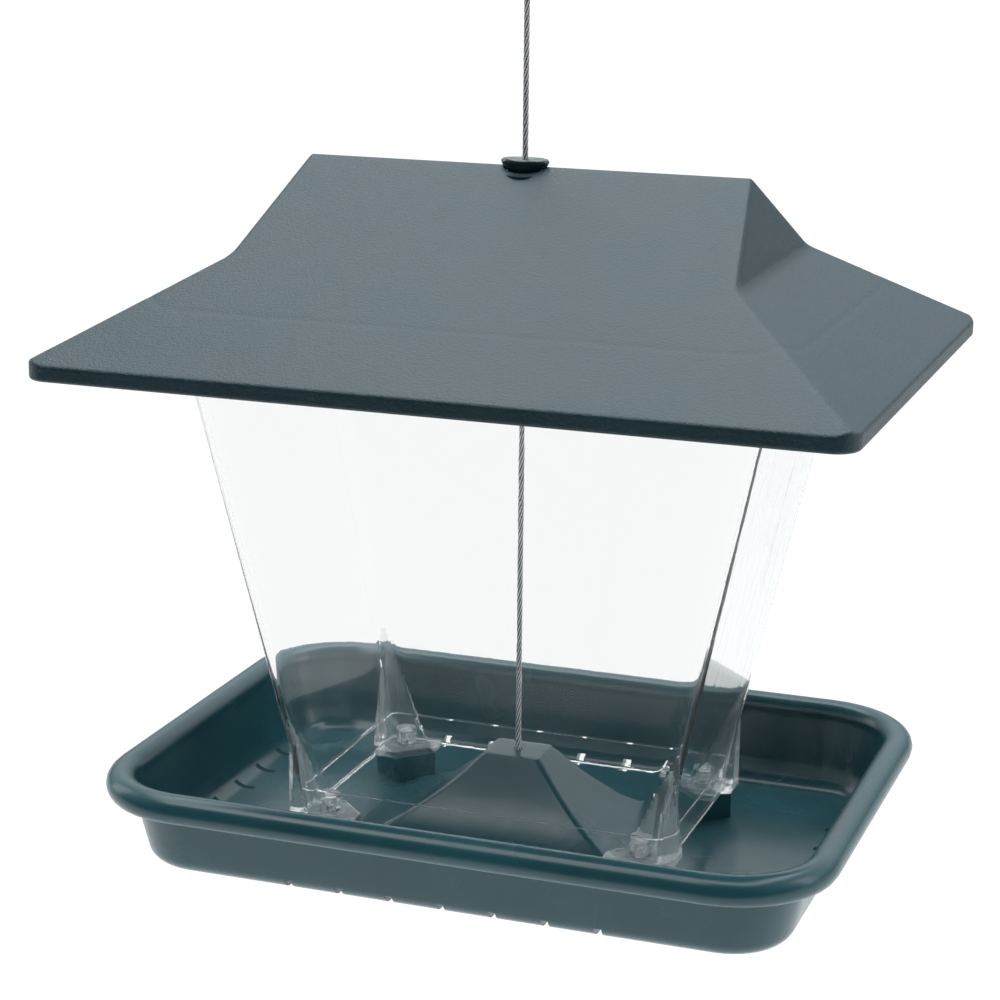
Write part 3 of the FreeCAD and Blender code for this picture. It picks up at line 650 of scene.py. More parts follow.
def twisted_cable(name, path, diameter):
    """Six strands round a core. A strand's centre is the path's point plus two thirds of the
    cable's radius turned by an angle that grows along the path, and its surface is a circle
    of a third of that radius, and a little more so that the strands touch, about its centre
    and square to the path. The last strand is the core."""
    rows, columns = 560, 10
    outer_strands = 6
    along = np.concatenate([[0.0], np.cumsum(np.linalg.norm(np.diff(path, axis=0), axis=1))])
    station = np.linspace(0.0, along[-1], rows)
    line = np.stack([np.interp(station, along, path[:, axis]) for axis in range(3)], axis=1)
    across = np.array([0.0, 1.0, 0.0])
    normal = np.cross(across, directions(line))
    strand_radius = diameter / 6.0
    swollen = 1.02 * strand_radius
    lay_length = 8.0 * diameter
    around = np.linspace(0.0, 2.0 * math.pi, columns, endpoint=False)[:, None]
    circle = np.cos(around) * normal[:, None, :] + np.sin(around) * across
    tubes = []
    for strand in range(outer_strands + 1):
        twist = 2.0 * math.pi * (station / lay_length + strand / outer_strands)
        reach = 2.0 * strand_radius * (strand < outer_strands)
        centre = line + reach * (np.cos(twist)[:, None] * normal + np.sin(twist)[:, None] * across)
        tubes.append(centre[:, None, :] + swollen * circle)
    quads = grid_faces(rows, columns, False)
    ends = [tuple(range(columns)), tuple(range((rows - 1) * columns, rows * columns))]
    faces = []
    for strand in range(outer_strands + 1):
        first = strand * rows * columns
        faces += (quads + first).tolist()
        faces += [tuple(first + index for index in end) for end in ends]
    piece = make_piece(name, np.concatenate(tubes), faces, 60.0)
    add_cable_map(piece.data, line, station, diameter / 2.0)
    return piece


def add_cable_map(mesh, line, station, radius):
    """A UV map named along: u is the distance along the cable in metres, and v is the distance
    from the cable's middle line as a share of its radius, 1 on the strands' crowns."""
    places = np.empty(len(mesh.vertices) * 3)
    mesh.vertices.foreach_get("co", places)
    places = places.reshape(-1, 3)
    stride = 4
    gaps = ((places[:, None, :] - line[None, ::stride, :]) ** 2).sum(axis=2)
    nearest = gaps.argmin(axis=1) * stride
    tangent = directions(line)[nearest]
    offset = places - line[nearest]
    ahead = (offset * tangent).sum(axis=1)
    away = np.linalg.norm(offset - ahead[:, None] * tangent, axis=1)
    corner_points = np.empty(len(mesh.loops), dtype=int)
    mesh.loops.foreach_get("vertex_index", corner_points)
    layer = mesh.uv_layers.new(name="along")
    values = np.stack([station[nearest] + ahead, away / radius], axis=1)[corner_points]
    layer.data.foreach_set("uv", values.ravel())


class FEEDER_OT_crimps(bpy.types.Operator):
    """Press the sleeves that close the loop and stop the cable's lower end"""
    bl_idname = "feeder.crimps"
    bl_label = "Crimped sleeves"

    def execute(self, context):
        metal_finish = finish_called("crimp_metal")
        for name, node, low, high, bites in [
            ("crimped_ferrule", "loop_ferrule", FERRULE_LOW, FERRULE_HIGH, 3),
            ("crimped_stop", "cable_stop", STOP_LOW, STOP_HIGH, 2),
        ]:
            piece = crimped_sleeve(name, np.array(low), np.array(high), bites)
            place(piece, "cable_line", metal_finish, [node])
        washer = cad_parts["stop_washer"]
        washer.data.materials.clear()
        washer.data.materials.append(finish_called("screw_steel"))
        return {"FINISHED"}


def crimped_sleeve(name, low, high, bites):
    """A sleeve between two corners: ellipses whose width follows a wave with one dip for each
    bite of the tool, with rounded ends, closed down to the cable's own size."""
    middle = (low + high) / 2.0
    half = (high - low) / 2.0
    end_share, end_size, bite_depth, wall, columns = 0.14, 0.72, 0.10, 1.55 * MM, 48
    share = np.linspace(-1.0, 1.0, 80)
    past = np.clip((np.abs(share) - (1.0 - end_share)) / end_share, 0.0, 1.0)
    size = end_size + (1.0 - end_size) * np.sqrt(1.0 - past ** 2)
    wave = np.cos(math.pi * bites * (share * 0.92 + (1 - bites % 2) / bites))
    bite = bite_depth * np.sqrt(np.clip(wave, 0.0, 1.0))
    rings = oval_rings(half[0] * size, half[1] * size * (1.0 - bite), columns)
    hole = oval_rings(half[0] - wall, half[1] - wall, columns)
    rings = np.concatenate([hole, rings, hole])
    heights = middle[2] + half[2] * np.concatenate([[-1.0], share, [1.0]])
    rings = raised(rings, heights)
    rings[..., :2] += middle[:2]
    return ring_piece(name, rings, sharp_degrees=50.0)


# Roof ----------------------------------------------------------------------------------------

def long_slope(sizes):
    """The long slopes' fall for each metre outwards, and the height at which they would meet."""
    blunted = 1.5 * MM
    slope = (ROOF_HIGH[2] - sizes.eave_height) / (ROOF_HIGH[1] - blunted)
    return slope, ROOF_HIGH[2] + slope * blunted


def roof_height(sizes, x, y, drop=0.0, gable_drop=0.0):
    """Height of the roof over a point: the lower of the long slope, which falls evenly from a
    rounded ridge, and of the end, which is the higher of the steep gable and the shallow
    skirt. The hips and gable edges are rounded by blending the two."""
    slope, peak = long_slope(sizes)
    front = peak - slope * np.sqrt(y ** 2 + sizes.ridge_edge ** 2) - drop
    reach = sizes.gable_half - np.abs(x)
    skirt_run = ROOF_HIGH[0] - sizes.gable_half
    skirt = sizes.gable_height + reach * (sizes.gable_height - sizes.eave_height) / skirt_run - drop
    steepness = (peak - sizes.gable_height) / (sizes.gable_half - sizes.ridge_half)
    gable = sizes.gable_height + reach * steepness - gable_drop
    end = smooth_max(skirt, gable, sizes.gable_bend)
    steep = smooth_step(reach / (2.0 * MM) + 0.5)
    blend = sizes.hip_edge + (sizes.gable_edge - sizes.hip_edge) * steep
    return smooth_min(front, end, blend)


def roof_plan(sizes, inset, foot_x, foot_y, ridge_half):
    """Rings in plan from the ridge to the eave: first between the ridge's line and the gables'
    feet, then to the inner wall's mark, across it in fine steps, and on to the rounded
    outline."""
    foot = rounded_rings(foot_x, foot_y, 0.8 * MM)[0]
    edge = rounded_rings(
        ROOF_HIGH[0] - inset, ROOF_HIGH[1] - inset, max(sizes.plan_corner - inset, 1.0 * MM))[0]
    steps = sizes.mark_width * np.linspace(-2.2, 2.2, 13)
    mark = rounded_rings(sizes.mark_half_x + steps, sizes.mark_half_y + steps, sizes.mark_corner + steps)
    ridge = np.stack([foot[:, 0] * ridge_half / foot_x, np.zeros(len(foot))], axis=1)
    share = 0.5 - 0.5 * np.cos(np.linspace(0.0, math.pi, 30))[:, None, None]
    upper = ridge + (foot - ridge) * share
    middle = foot + (mark[0] - foot) * np.linspace(0.0, 1.0, 14)[1:-1, None, None]
    lower = mark[-1] + (edge - mark[-1]) * np.linspace(0.0, 1.0, 14)[1:, None, None]
    return np.concatenate([upper, middle, mark, lower])


def mark_drop(sizes, rings):
    """How far each row of the outer slopes sinks along the inner wall's mark: a bell curve of
    the row's distance from the mark's line, and nothing on the other rows."""
    reach = np.abs(rings[:, :, 0]).max(axis=1) - sizes.mark_half_x
    drop = sizes.mark_depth * np.exp(-(reach / sizes.mark_width) ** 2)
    return drop[:, None] * (np.abs(reach) < 2.3 * sizes.mark_width)[:, None]


def roof_outline(sizes, inset):
    return rounded_rings(ROOF_HIGH[0] - inset, ROOF_HIGH[1] - inset, sizes.plan_corner - inset)


def roof_rings(sizes):
    """The whole shell as one run of rings: outer slopes, rounded eave, fascia, rounded lower
    edge, inner fascia and inner slopes."""
    outer_plan = roof_plan(sizes, sizes.eave_edge, sizes.gable_half, gable_foot_y(sizes), sizes.ridge_half)
    outer_height = roof_height(sizes, outer_plan[..., 0], outer_plan[..., 1])
    outer = raised(outer_plan, outer_height - mark_drop(sizes, outer_plan))
    turn = np.linspace(0.0, math.pi / 2, 7)[1:]
    edge_plan = roof_outline(sizes, sizes.eave_edge * (1.0 - np.sin(turn)))
    edge_top = roof_height(sizes, edge_plan[..., 0], edge_plan[..., 1])
    edge = raised(edge_plan, edge_top - (sizes.eave_edge * (1.0 - np.cos(turn)))[:, None])
    roundness = sizes.wall * 0.48
    start = edge[-1][:, 2]
    end = ROOF_LOW[2] + roundness
    share = np.linspace(0.0, 1.0, 6)[1:, None]
    wall_plan = np.repeat(edge[-1:, :, :2], 5, axis=0)
    wall = raised(wall_plan, start + (end - start) * share)
    under = np.linspace(0.0, math.pi, 11)[1:]
    under_plan = roof_outline(sizes, sizes.wall / 2 * (1.0 - np.cos(under)))
    foot = raised(under_plan, end - roundness * np.sin(under))
    inner_foot_x, inner_foot_y = sizes.gable_half - 2.2 * MM, gable_foot_y(sizes) - 2.3 * MM
    inner_plan = roof_plan(sizes, sizes.wall, inner_foot_x, inner_foot_y, sizes.ridge_half - 2.0 * MM)[::-1]
    drop, gable_drop = 2.85 * MM, 8.5 * MM
    inner_height = roof_height(sizes, inner_plan[..., 0], inner_plan[..., 1], drop, gable_drop)
    inner = raised(inner_plan, inner_height)
    return np.concatenate([outer, edge, wall, foot, inner])


def gable_foot_y(sizes):
    """Half width of the long slopes at the height of the gables' feet."""
    slope, peak = long_slope(sizes)
    return (peak - sizes.gable_height) / slope


class FEEDER_OT_roof(bpy.types.Operator):
    """Mould the roof's shell, with its walls and ribs underneath"""
    bl_idname = "feeder.roof"
    bl_label = "Roof"

    def execute(self, context):
        sizes = context.scene.feeder_roof
        finish = finish_called("roof_plastic")
        shell = ring_piece("roof_shell", roof_rings(sizes), close_rows=False, sharp_degrees=40.0)
        for name, half_x, half_y, below, above, operation in [
            ("seat", 8.5 * MM, 4.9 * MM, 0.0, ROOF_HIGH[2] + 10.0 * MM - CAP_SEAT, "DIFFERENCE"),
            ("boss", 8.0 * MM, 8.0 * MM, 7.0 * MM, 0.2 * MM, "UNION"),
            ("stem", 3.3 * MM, 3.3 * MM, 20.0 * MM, 20.0 * MM, "DIFFERENCE"),
        ]:
            outline = oval_rings(half_x, half_y, 72)[0].tolist()
            combined(shell, upright(name, outline, CAP_SEAT - below, CAP_SEAT + above), operation, 40.0)
        place(shell, "roof", finish, ["roof"])
        place(locating_wall(sizes), "roof", finish)
        place(bearing_ribs(sizes), "roof", finish)
        return {"FINISHED"}


def under_height(sizes, x, y):
    """Height a little inside the roof's wall, where a rib runs into it."""
    drop, gable_drop = 2.2 * MM, 6.0 * MM
    return roof_height(sizes, x, y, drop, gable_drop)


def locating_wall(sizes):
    """A wall round the hopper's top, from its rounded lower edge up into the roof's slopes."""
    gap = 0.7 * MM
    corner = bpy.context.scene.feeder_hopper.high_corner
    inset = np.array([2.0, 2.0, 1.7, 1.0, 0.3, 0.0, 0.0]) * MM
    lift = np.array([40.0, 0.8, 0.25, 0.0, 0.25, 0.8, 40.0]) * MM
    plan = rounded_rings(HOPPER_HIGH[0] + gap + inset, HOPPER_HIGH[1] + gap + inset, corner + inset)
    low = 199.0 * MM
    height = np.minimum(low + lift[:, None], under_height(sizes, plan[..., 0], plan[..., 1]))
    return ring_piece("roof_locating_wall", raised(plan, height))


def bearing_ribs(sizes):
    """Four upright plates across the hopper's rim, cut to the slope above them."""
    from_middle, half_thickness, start, end = 60.0 * MM, 1.0 * MM, 65.2 * MM, 80.2 * MM
    plates = []
    for side_x, side_y, _ in corners():
        middle = side_x * from_middle
        across = (middle - half_thickness, middle + half_thickness)
        foot = [(x, side_y * y) for x in across for y in (start, end)]
        low = [(x, y, HOPPER_HIGH[2]) for x, y in foot]
        plates.append(low + [(x, y, float(under_height(sizes, x, y))) for x, y in foot])
    return bevelled(make_piece("roof_bearing_ribs", *several_boxes(plates)), 0.35 * MM)


class FEEDER_OT_cap(bpy.types.Operator):
    """Turn the oval plug that sits in the ridge"""
    bl_idname = "feeder.cap"
    bl_label = "Ridge plug"

    def execute(self, context):
        cap = ring_piece("ridge_plug", cap_rings(), sharp_degrees=50.0)
        place(cap, "cap", finish_called("cap_plastic"), ["roof_cap"])
        return {"FINISHED"}


def cap_rings():
    """The plug as ovals: up the round stem, out under the head, up its flank, over its crown
    and down through the cable's hole. The head's ovals are shares of its half length and half
    width, and the stem's and the hole's are circles."""
    low, top = CAP_LOW[2], CAP_HIGH[2]
    stem = 2.9 * MM
    circles_below = [
        (stem - 0.5 * MM, low),
        (stem - 0.12 * MM, low + 0.15 * MM),
        (stem, low + 0.5 * MM),
        (stem, CAP_SEAT - 0.1 * MM),
        (stem + 0.1 * MM, CAP_SEAT),
    ]
    head = [
        (0.66, 0.66, CAP_SEAT),
        (0.69, 0.70, CAP_SEAT + 0.2 * MM),
        (0.96, 0.95, CAP_SEAT + 3.9 * MM),
        (0.99, 0.99, CAP_SEAT + 4.4 * MM),
        (1.0, 1.0, CAP_SEAT + 4.8 * MM),
        (0.99, 0.98, top - 0.8 * MM),
        (0.955, 0.93, top - 0.35 * MM),
        (0.89, 0.86, top - 0.08 * MM),
        (0.80, 0.76, top),
        (0.6, 0.55, top - 0.1 * MM),
    ]
    circles_inside = [
        (CABLE_HOLE + 0.5 * MM, top - 0.25 * MM),
        (CABLE_HOLE + 0.1 * MM, top - 0.4 * MM),
        (CABLE_HOLE, top - 0.8 * MM),
        (CABLE_HOLE, low + 0.3 * MM),
        (CABLE_HOLE + 0.2 * MM, low),
    ]
    ovals = [(radius, radius, height) for radius, height in circles_below]
    ovals += [(CAP_HIGH[0] * along, CAP_HIGH[1] * across, height) for along, across, height in head]
    ovals += [(radius, radius, height) for radius, height in circles_inside]
    half_x, half_y, height = np.array(ovals).T
    return raised(oval_rings(half_x, half_y, 72), height)


# Hopper --------------------------------------------------------------------------------------

def hopper_outline(sizes, heights):
    """Half length, half width and corner radius of the walls' outside at each height: even
    tapers from the foot to the waist and from the waist to the top."""
    levels = [sizes.foot_height, sizes.waist_height, HOPPER_HIGH[2]]
    half_x = np.interp(heights, levels, [sizes.foot_half_x, sizes.waist_half_x, HOPPER_HIGH[0]])
    half_y = np.interp(heights, levels, [sizes.foot_half_y, sizes.waist_half_y, HOPPER_HIGH[1]])
    return half_x, half_y, np.interp(heights, levels, [sizes.low_corner, sizes.low_corner, sizes.high_corner])


def leg_length(sizes, heights):
    """How far a corner post reaches along the walls at each height."""
    return np.interp(heights, [sizes.foot_height, sizes.post_top], [sizes.post_leg, sizes.post_tip])


def post_share(sizes, plan, half_x, half_y, heights):
    """How much of a corner post there is at each point: 1 within a leg's length of a corner
    and 0 beyond it."""
    from_corner = np.maximum(half_x[:, None] - np.abs(plan[..., 0]), half_y[:, None] - np.abs(plan[..., 1]))
    leg = leg_length(sizes, heights)[:, None]
    share = smooth_step((leg - from_corner) / (1.6 * MM) + 0.5)
    return share * (heights[:, None] <= sizes.post_top)


def push_out(plan, half_x, half_y, radius, by_x, by_y):
    """Move points away from the middle: along x where they lie past the straight part of the
    long sides, and along y where they lie past that of the short sides."""
    for axis, half, by in ((0, half_x, by_x), (1, half_y, by_y)):
        past = np.abs(plan[..., axis]) > (half - radius)[:, None]
        plan[..., axis] += np.sign(plan[..., axis]) * by * past


def hopper_rings(sizes):
    """The clear shell: up the outside, over the rim, down the inside and over the ledge at the
    foot. The corner posts stand out from the foot as upright faces that the leaning walls run
    into above the waist, where they go on inside as thin wedges."""
    foot, top = sizes.foot_height, HOPPER_HIGH[2]
    up = np.concatenate([
        foot + np.array([0.0, 0.12, 0.4]) * MM, np.linspace(foot + 1.0 * MM, sizes.waist_height, 22),
        np.linspace(sizes.waist_height, sizes.post_top + 2.0 * MM, 16)[1:],
        np.linspace(sizes.post_top + 2.0 * MM, top - 1.0 * MM, 24)[1:], top - np.array([0.4, 0.0]) * MM])
    edge = np.zeros(len(up))
    edge[:2] = np.array([0.4, 0.12]) * MM
    edge[-2:] = np.array([0.25, 0.8]) * MM
    half_x, half_y, radius = hopper_outline(sizes, up)
    plan = rounded_rings(half_x - edge, half_y - edge, radius - edge)
    share = post_share(sizes, plan, half_x, half_y, up)
    grow_x = np.clip(sizes.post_half_x - half_x, 0.0, None)[:, None] * share
    grow_y = np.clip(sizes.post_half_y - half_y, 0.0, None)[:, None] * share
    push_out(plan, half_x, half_y, radius, grow_x, grow_y)
    outside = raised(plan, up)
    down = np.concatenate([
        top - np.array([0.0, 0.4]) * MM, np.linspace(top - 1.0 * MM, sizes.post_top + 1.0 * MM, 22),
        np.linspace(sizes.post_top, sizes.lip_height + 0.9 * MM, 22),
        sizes.lip_height + np.array([0.6, 0.15, 0.0, -0.1, -0.5]) * MM,
        np.linspace(sizes.lip_height - 2.0 * MM, foot + 0.4 * MM, 6), [foot + 0.12 * MM, foot]])
    ledge = np.clip((sizes.lip_height + 0.3 * MM - down) / (0.4 * MM), 0.0, 1.0)
    wall = sizes.wall + sizes.lip * ledge
    wall[:2] -= np.array([0.8, 0.25]) * MM
    wall[-2:] -= np.array([0.12, 0.4]) * MM
    half_x, half_y, radius = hopper_outline(sizes, down)
    plan = rounded_rings(half_x - wall, half_y - wall, np.clip(radius - wall, 0.6 * MM, None))
    share = post_share(sizes, plan, half_x - wall, half_y - wall, down)
    fade = np.clip((sizes.post_top - down) / (sizes.post_top - sizes.waist_height), 0.0, 1.0)[:, None]
    wedge = 0.9 * MM * share * fade * (down > sizes.lip_height)[:, None]
    push_out(plan, half_x, half_y, radius, -wedge, -wedge)
    return np.concatenate([outside, raised(plan, down)])


class FEEDER_OT_hopper(bpy.types.Operator):
    """Mould the clear hopper with its corner posts, screw shelves and bosses"""
    bl_idname = "feeder.hopper"
    bl_label = "Hopper"

    def execute(self, context):
        sizes = context.scene.feeder_hopper
        clear = finish_called("clear_plastic")
        shell = ring_piece("hopper_shell", hopper_rings(sizes), sharp_degrees=30.0)
        place(shell, "feeder", clear, ["hopper"])
        streak_posts(shell.data, sizes)
        for side_x, side_y, corner in corners():
            piece = screw_shelf(f"hopper_shelf_{corner}", side_x, side_y, sizes, context.scene.feeder_tray)
            place(piece, "feeder", finish_called("clear_edges"))
        return {"FINISHED"}


def streak_posts(mesh, sizes):
    """Give the faces of the corner posts and of the walls' lower edge the streaky finish."""
    mesh.materials.append(finish_called("clear_edges"))
    centres = np.empty(len(mesh.polygons) * 3)
    mesh.polygons.foreach_get("center", centres)
    x, y, z = np.abs(centres.reshape(-1, 3)).T
    half_x, half_y, _ = hopper_outline(sizes, z)
    post = (np.maximum(half_x - x, half_y - y) < leg_length(sizes, z)) & (z < sizes.post_top)
    ledge = z < sizes.foot_height + 0.5 * MM
    mesh.polygons.foreach_set("material_index", (post | ledge).astype(int))


def corners():
    """Each corner's signs and name."""
    for side_x, along in ((-1, "left"), (1, "right")):
        for side_y, across in ((-1, "front"), (1, "back")):
            yield side_x, side_y, f"{across}_{along}"


def screw_shelf(name, side_x, side_y, sizes, tray):
    """The flat web across a corner with the boss that a screw holds, and the screw's hole."""
    low = tray.block_height
    web_thickness, boss_radius, boss_height = 2.5 * MM, 4.0 * MM, 9.0 * MM
    hole_radius, hole_depth = 1.85 * MM, 7.6 * MM
    outer_x, outer_y = sizes.foot_half_x - 1.0 * MM, sizes.foot_half_y - 1.0 * MM
    inner_x, inner_y = tray.block_x - tray.block_reach, tray.block_y - tray.block_reach
    outline = [
        (outer_x, outer_y),
        (inner_x, outer_y),
        (inner_x, tray.block_y),
        (tray.block_x, inner_y),
        (outer_x, inner_y),
    ]
    web = upright(name, [(side_x * x, side_y * y) for x, y in outline], low, low + web_thickness)
    bevelled(web, 0.3 * MM)
    centre = (side_x * tray.block_x, side_y * tray.block_y)
    boss = upright("boss", circle_outline(*centre, boss_radius), low + 0.5 * MM, low + boss_height)
    combined(web, boss, "UNION")
    hole = upright("hole", circle_outline(*centre, hole_radius), low - 1.0 * MM, low + hole_depth)
    return combined(web, hole, "DIFFERENCE")


# Tray ----------------------------------------------------------------------------------------

CONE_FOOT_X, CONE_FOOT_Y = 60.0 * MM, 38.0 * MM
LIP_TURN = math.radians(46.0)

def cone_profile(sizes, drop):
    """The cone's half length, half width and height: a curve from the plate's edge to the
    floor that starts steep and flattens out, pulled towards one control point."""
    share = np.linspace(0.0, 1.0, 22)
    start = (sizes.plate_half_x, sizes.plate_height)
    pull = (33.0 * MM, 9.5 * MM)
    end = (CONE_FOOT_X, sizes.wall)
    narrowing = 0.594
    weights = [(1.0 - share) ** 2, 2.0 * share * (1.0 - share), share ** 2]
    half_x, height = (
        sum(weight * point[axis] for weight, point in zip(weights, (start, pull, end))) for axis in (0, 1))
    half_y = sizes.plate_half_y + (half_x - sizes.plate_half_x) * narrowing
    height = height - drop
    keep = height > (0.0 if drop else sizes.wall - 1e-6)
    return half_x[keep], half_y[keep], height[keep]


def wall_profile(sizes):
    """The tray's wall as offsets from its outline at the rim, with their heights: the inner
    corner, the leaning inside, the rolled rim over and under its lip, the leaning outside and
    the rounded lower edge. Every round is a stretch of a circle."""
    edge, floor, rim = sizes.edge, sizes.wall, sizes.rim_height
    inner = -sizes.wall - sizes.draft
    turn = np.linspace(0.0, math.pi / 2, 9)
    rise = edge * (1.0 - np.cos(turn))
    inner_corner = (inner - edge + edge * np.sin(turn) + sizes.draft * rise / rim, floor + rise)
    climb = np.linspace(floor + edge, rim, 12)[1:]
    inside = (-sizes.wall - sizes.draft * (1.0 - climb / rim), climb)
    outer_radius = TRAY_TOP - rim
    inner_radius = outer_radius - sizes.wall
    centre = inner_radius
    over = np.linspace(math.pi, -LIP_TURN, 26)[1:]
    roll = (centre + outer_radius * np.cos(over), rim + outer_radius * np.sin(over))
    lip_turn = -LIP_TURN - np.linspace(0.0, math.pi, 7)[1:-1]
    lip_middle = (outer_radius + inner_radius) / 2.0
    lip_x = centre + lip_middle * math.cos(LIP_TURN)
    lip_z = rim - lip_middle * math.sin(LIP_TURN)
    lip = (lip_x + sizes.wall / 2 * np.cos(lip_turn), lip_z + sizes.wall / 2 * np.sin(lip_turn))
    back = np.linspace(-LIP_TURN, math.pi, 20)
    under_roll = (centre + inner_radius * np.cos(back), rim + inner_radius * np.sin(back))
    fall = np.linspace(rim, edge, 10)[1:]
    outside = (-sizes.draft * (1.0 - fall / rim), fall)
    turn = turn[1:]
    low = edge * (1.0 - np.sin(turn))
    lower_edge = (-sizes.draft * (1.0 - low / rim) - edge * (1.0 - np.cos(turn)), low)
    stretches = (inner_corner, inside, roll, lip, under_roll, outside, lower_edge)
    return np.concatenate(stretches, axis=1)


def tray_rings(sizes):
    """The tray as one closed run of rings: up through the cable's hole, out over the plate,
    down the cone, over the floor, round the wall and its rolled rim, under the floor and up
    the cone's underside."""
    plate, soft = sizes.plate_height, 0.7 * MM
    hole = np.array([CABLE_HOLE, CABLE_HOLE, CABLE_HOLE + 0.3 * MM])
    inward = soft * np.array([3.0, 1.0, 0.35])
    plate_sink = soft * np.array([0.0, 0.0, 0.2])
    cone_x, cone_y, cone_height = cone_profile(sizes, 0.0)
    cone_corner = np.interp(cone_height, [sizes.wall, plate], [2.0 * MM, 2.4 * MM])
    cone_height[0] -= 0.75 * soft
    reach = np.array([0.35, 0.7, 0.93])
    flat = -sizes.wall - sizes.draft - sizes.edge
    floor_x = (sizes.half_x + flat) * reach + CONE_FOOT_X * (1.0 - reach)
    floor_y = (sizes.half_y + flat) * reach + CONE_FOOT_Y * (1.0 - reach)
    floor_corner = 2.0 * MM + (sizes.corner + flat - 2.0 * MM) * reach
    offset, wall_height = wall_profile(sizes)
    under_x, under_y, under_height_of_cone = (values[::-1] for values in cone_profile(sizes, sizes.cone_wall))
    half_x, half_y, radius, height = np.concatenate([
        as_rows(hole, hole, hole, [plate - sizes.cone_wall, plate - 0.3 * MM, plate]),
        as_rows(sizes.plate_half_x - inward, sizes.plate_half_y - inward, 2.2 * MM, plate - plate_sink),
        as_rows(cone_x, cone_y, cone_corner, cone_height),
        as_rows(floor_x, floor_y, floor_corner, sizes.wall),
        as_rows(sizes.half_x + offset, sizes.half_y + offset, sizes.corner + offset, wall_height),
        as_rows(under_x[0] + 0.5 * MM, under_y[0] + 0.4 * MM, 2.0 * MM, 0.0),
        as_rows(under_x, under_y, 1.6 * MM, under_height_of_cone),
    ], axis=1)
    return raised(rounded_rings(half_x, half_y, radius), height)


def slot_boxes(sizes):
    """The drain slots: seven along each long side and five along each short side, open
    through the lower edge."""
    half = sizes.slot_width / 2
    low, high = -1.0 * MM, 2.0 * sizes.wall
    for side in (-1, 1):
        for to_edge, most_steps, turned in ((sizes.half_y, 3, False), (sizes.half_x, 2, True)):
            edge = to_edge - sizes.draft
            start, end = sorted((side * (edge - sizes.slot_length), side * (edge + 1.0 * MM)))
            for step in range(-most_steps, most_steps + 1):
                middle = step * sizes.slot_pitch
                near, far = (middle - half, start), (middle + half, end)
                if turned:
                    near, far = near[::-1], far[::-1]
                yield box_corners((*near, low), (*far, high))


class FEEDER_OT_tray(bpy.types.Operator):
    """Mould the tray with its seed cone, corner blocks, drain slots and screw holes"""
    bl_idname = "feeder.tray"
    bl_label = "Tray"

    def execute(self, context):
        sizes = context.scene.feeder_tray
        sharp, reach = 38.0, sizes.block_reach
        tray = ring_piece("tray_moulding", tray_rings(sizes), sharp_degrees=sharp)
        combined(tray, make_piece("slots", *several_boxes(slot_boxes(sizes))), "DIFFERENCE", sharp)
        for side_x, side_y, _ in corners():
            x, y = side_x * sizes.block_x, side_y * sizes.block_y
            outline = [(x + reach, y), (x, y + reach), (x - reach, y), (x, y - reach)]
            block = upright("block", outline, sizes.wall - 1.0 * MM, sizes.block_height)
            combined(tray, bevelled(block, 0.5 * MM, 3), "UNION", sharp)
            for name, radius, top in [
                ("shank_hole", 2.1 * MM, 20.0 * MM),
                ("head_recess", 3.9 * MM, 4.0 * MM),
            ]:
                hole = upright(name, circle_outline(x, y, radius), -1.0 * MM, top)
                combined(tray, hole, "DIFFERENCE", sharp)
        place(tray, "feeder", finish_called("tray_plastic"), ["tray"])
        return {"FINISHED"}


class FEEDER_OT_screws(bpy.types.Operator):
    """Cut the four self-tapping screws"""
    bl_idname = "feeder.screws"
    bl_label = "Screws"

    def execute(self, context):
        zinc = finish_called("screw_steel")
        for node in SCREW_NODES:
            low, high = (np.array(corner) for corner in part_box(node))
            place(threaded_screw(f"{node}_threaded", low, high), "feeder", zinc, [node])
        return {"FINISHED"}


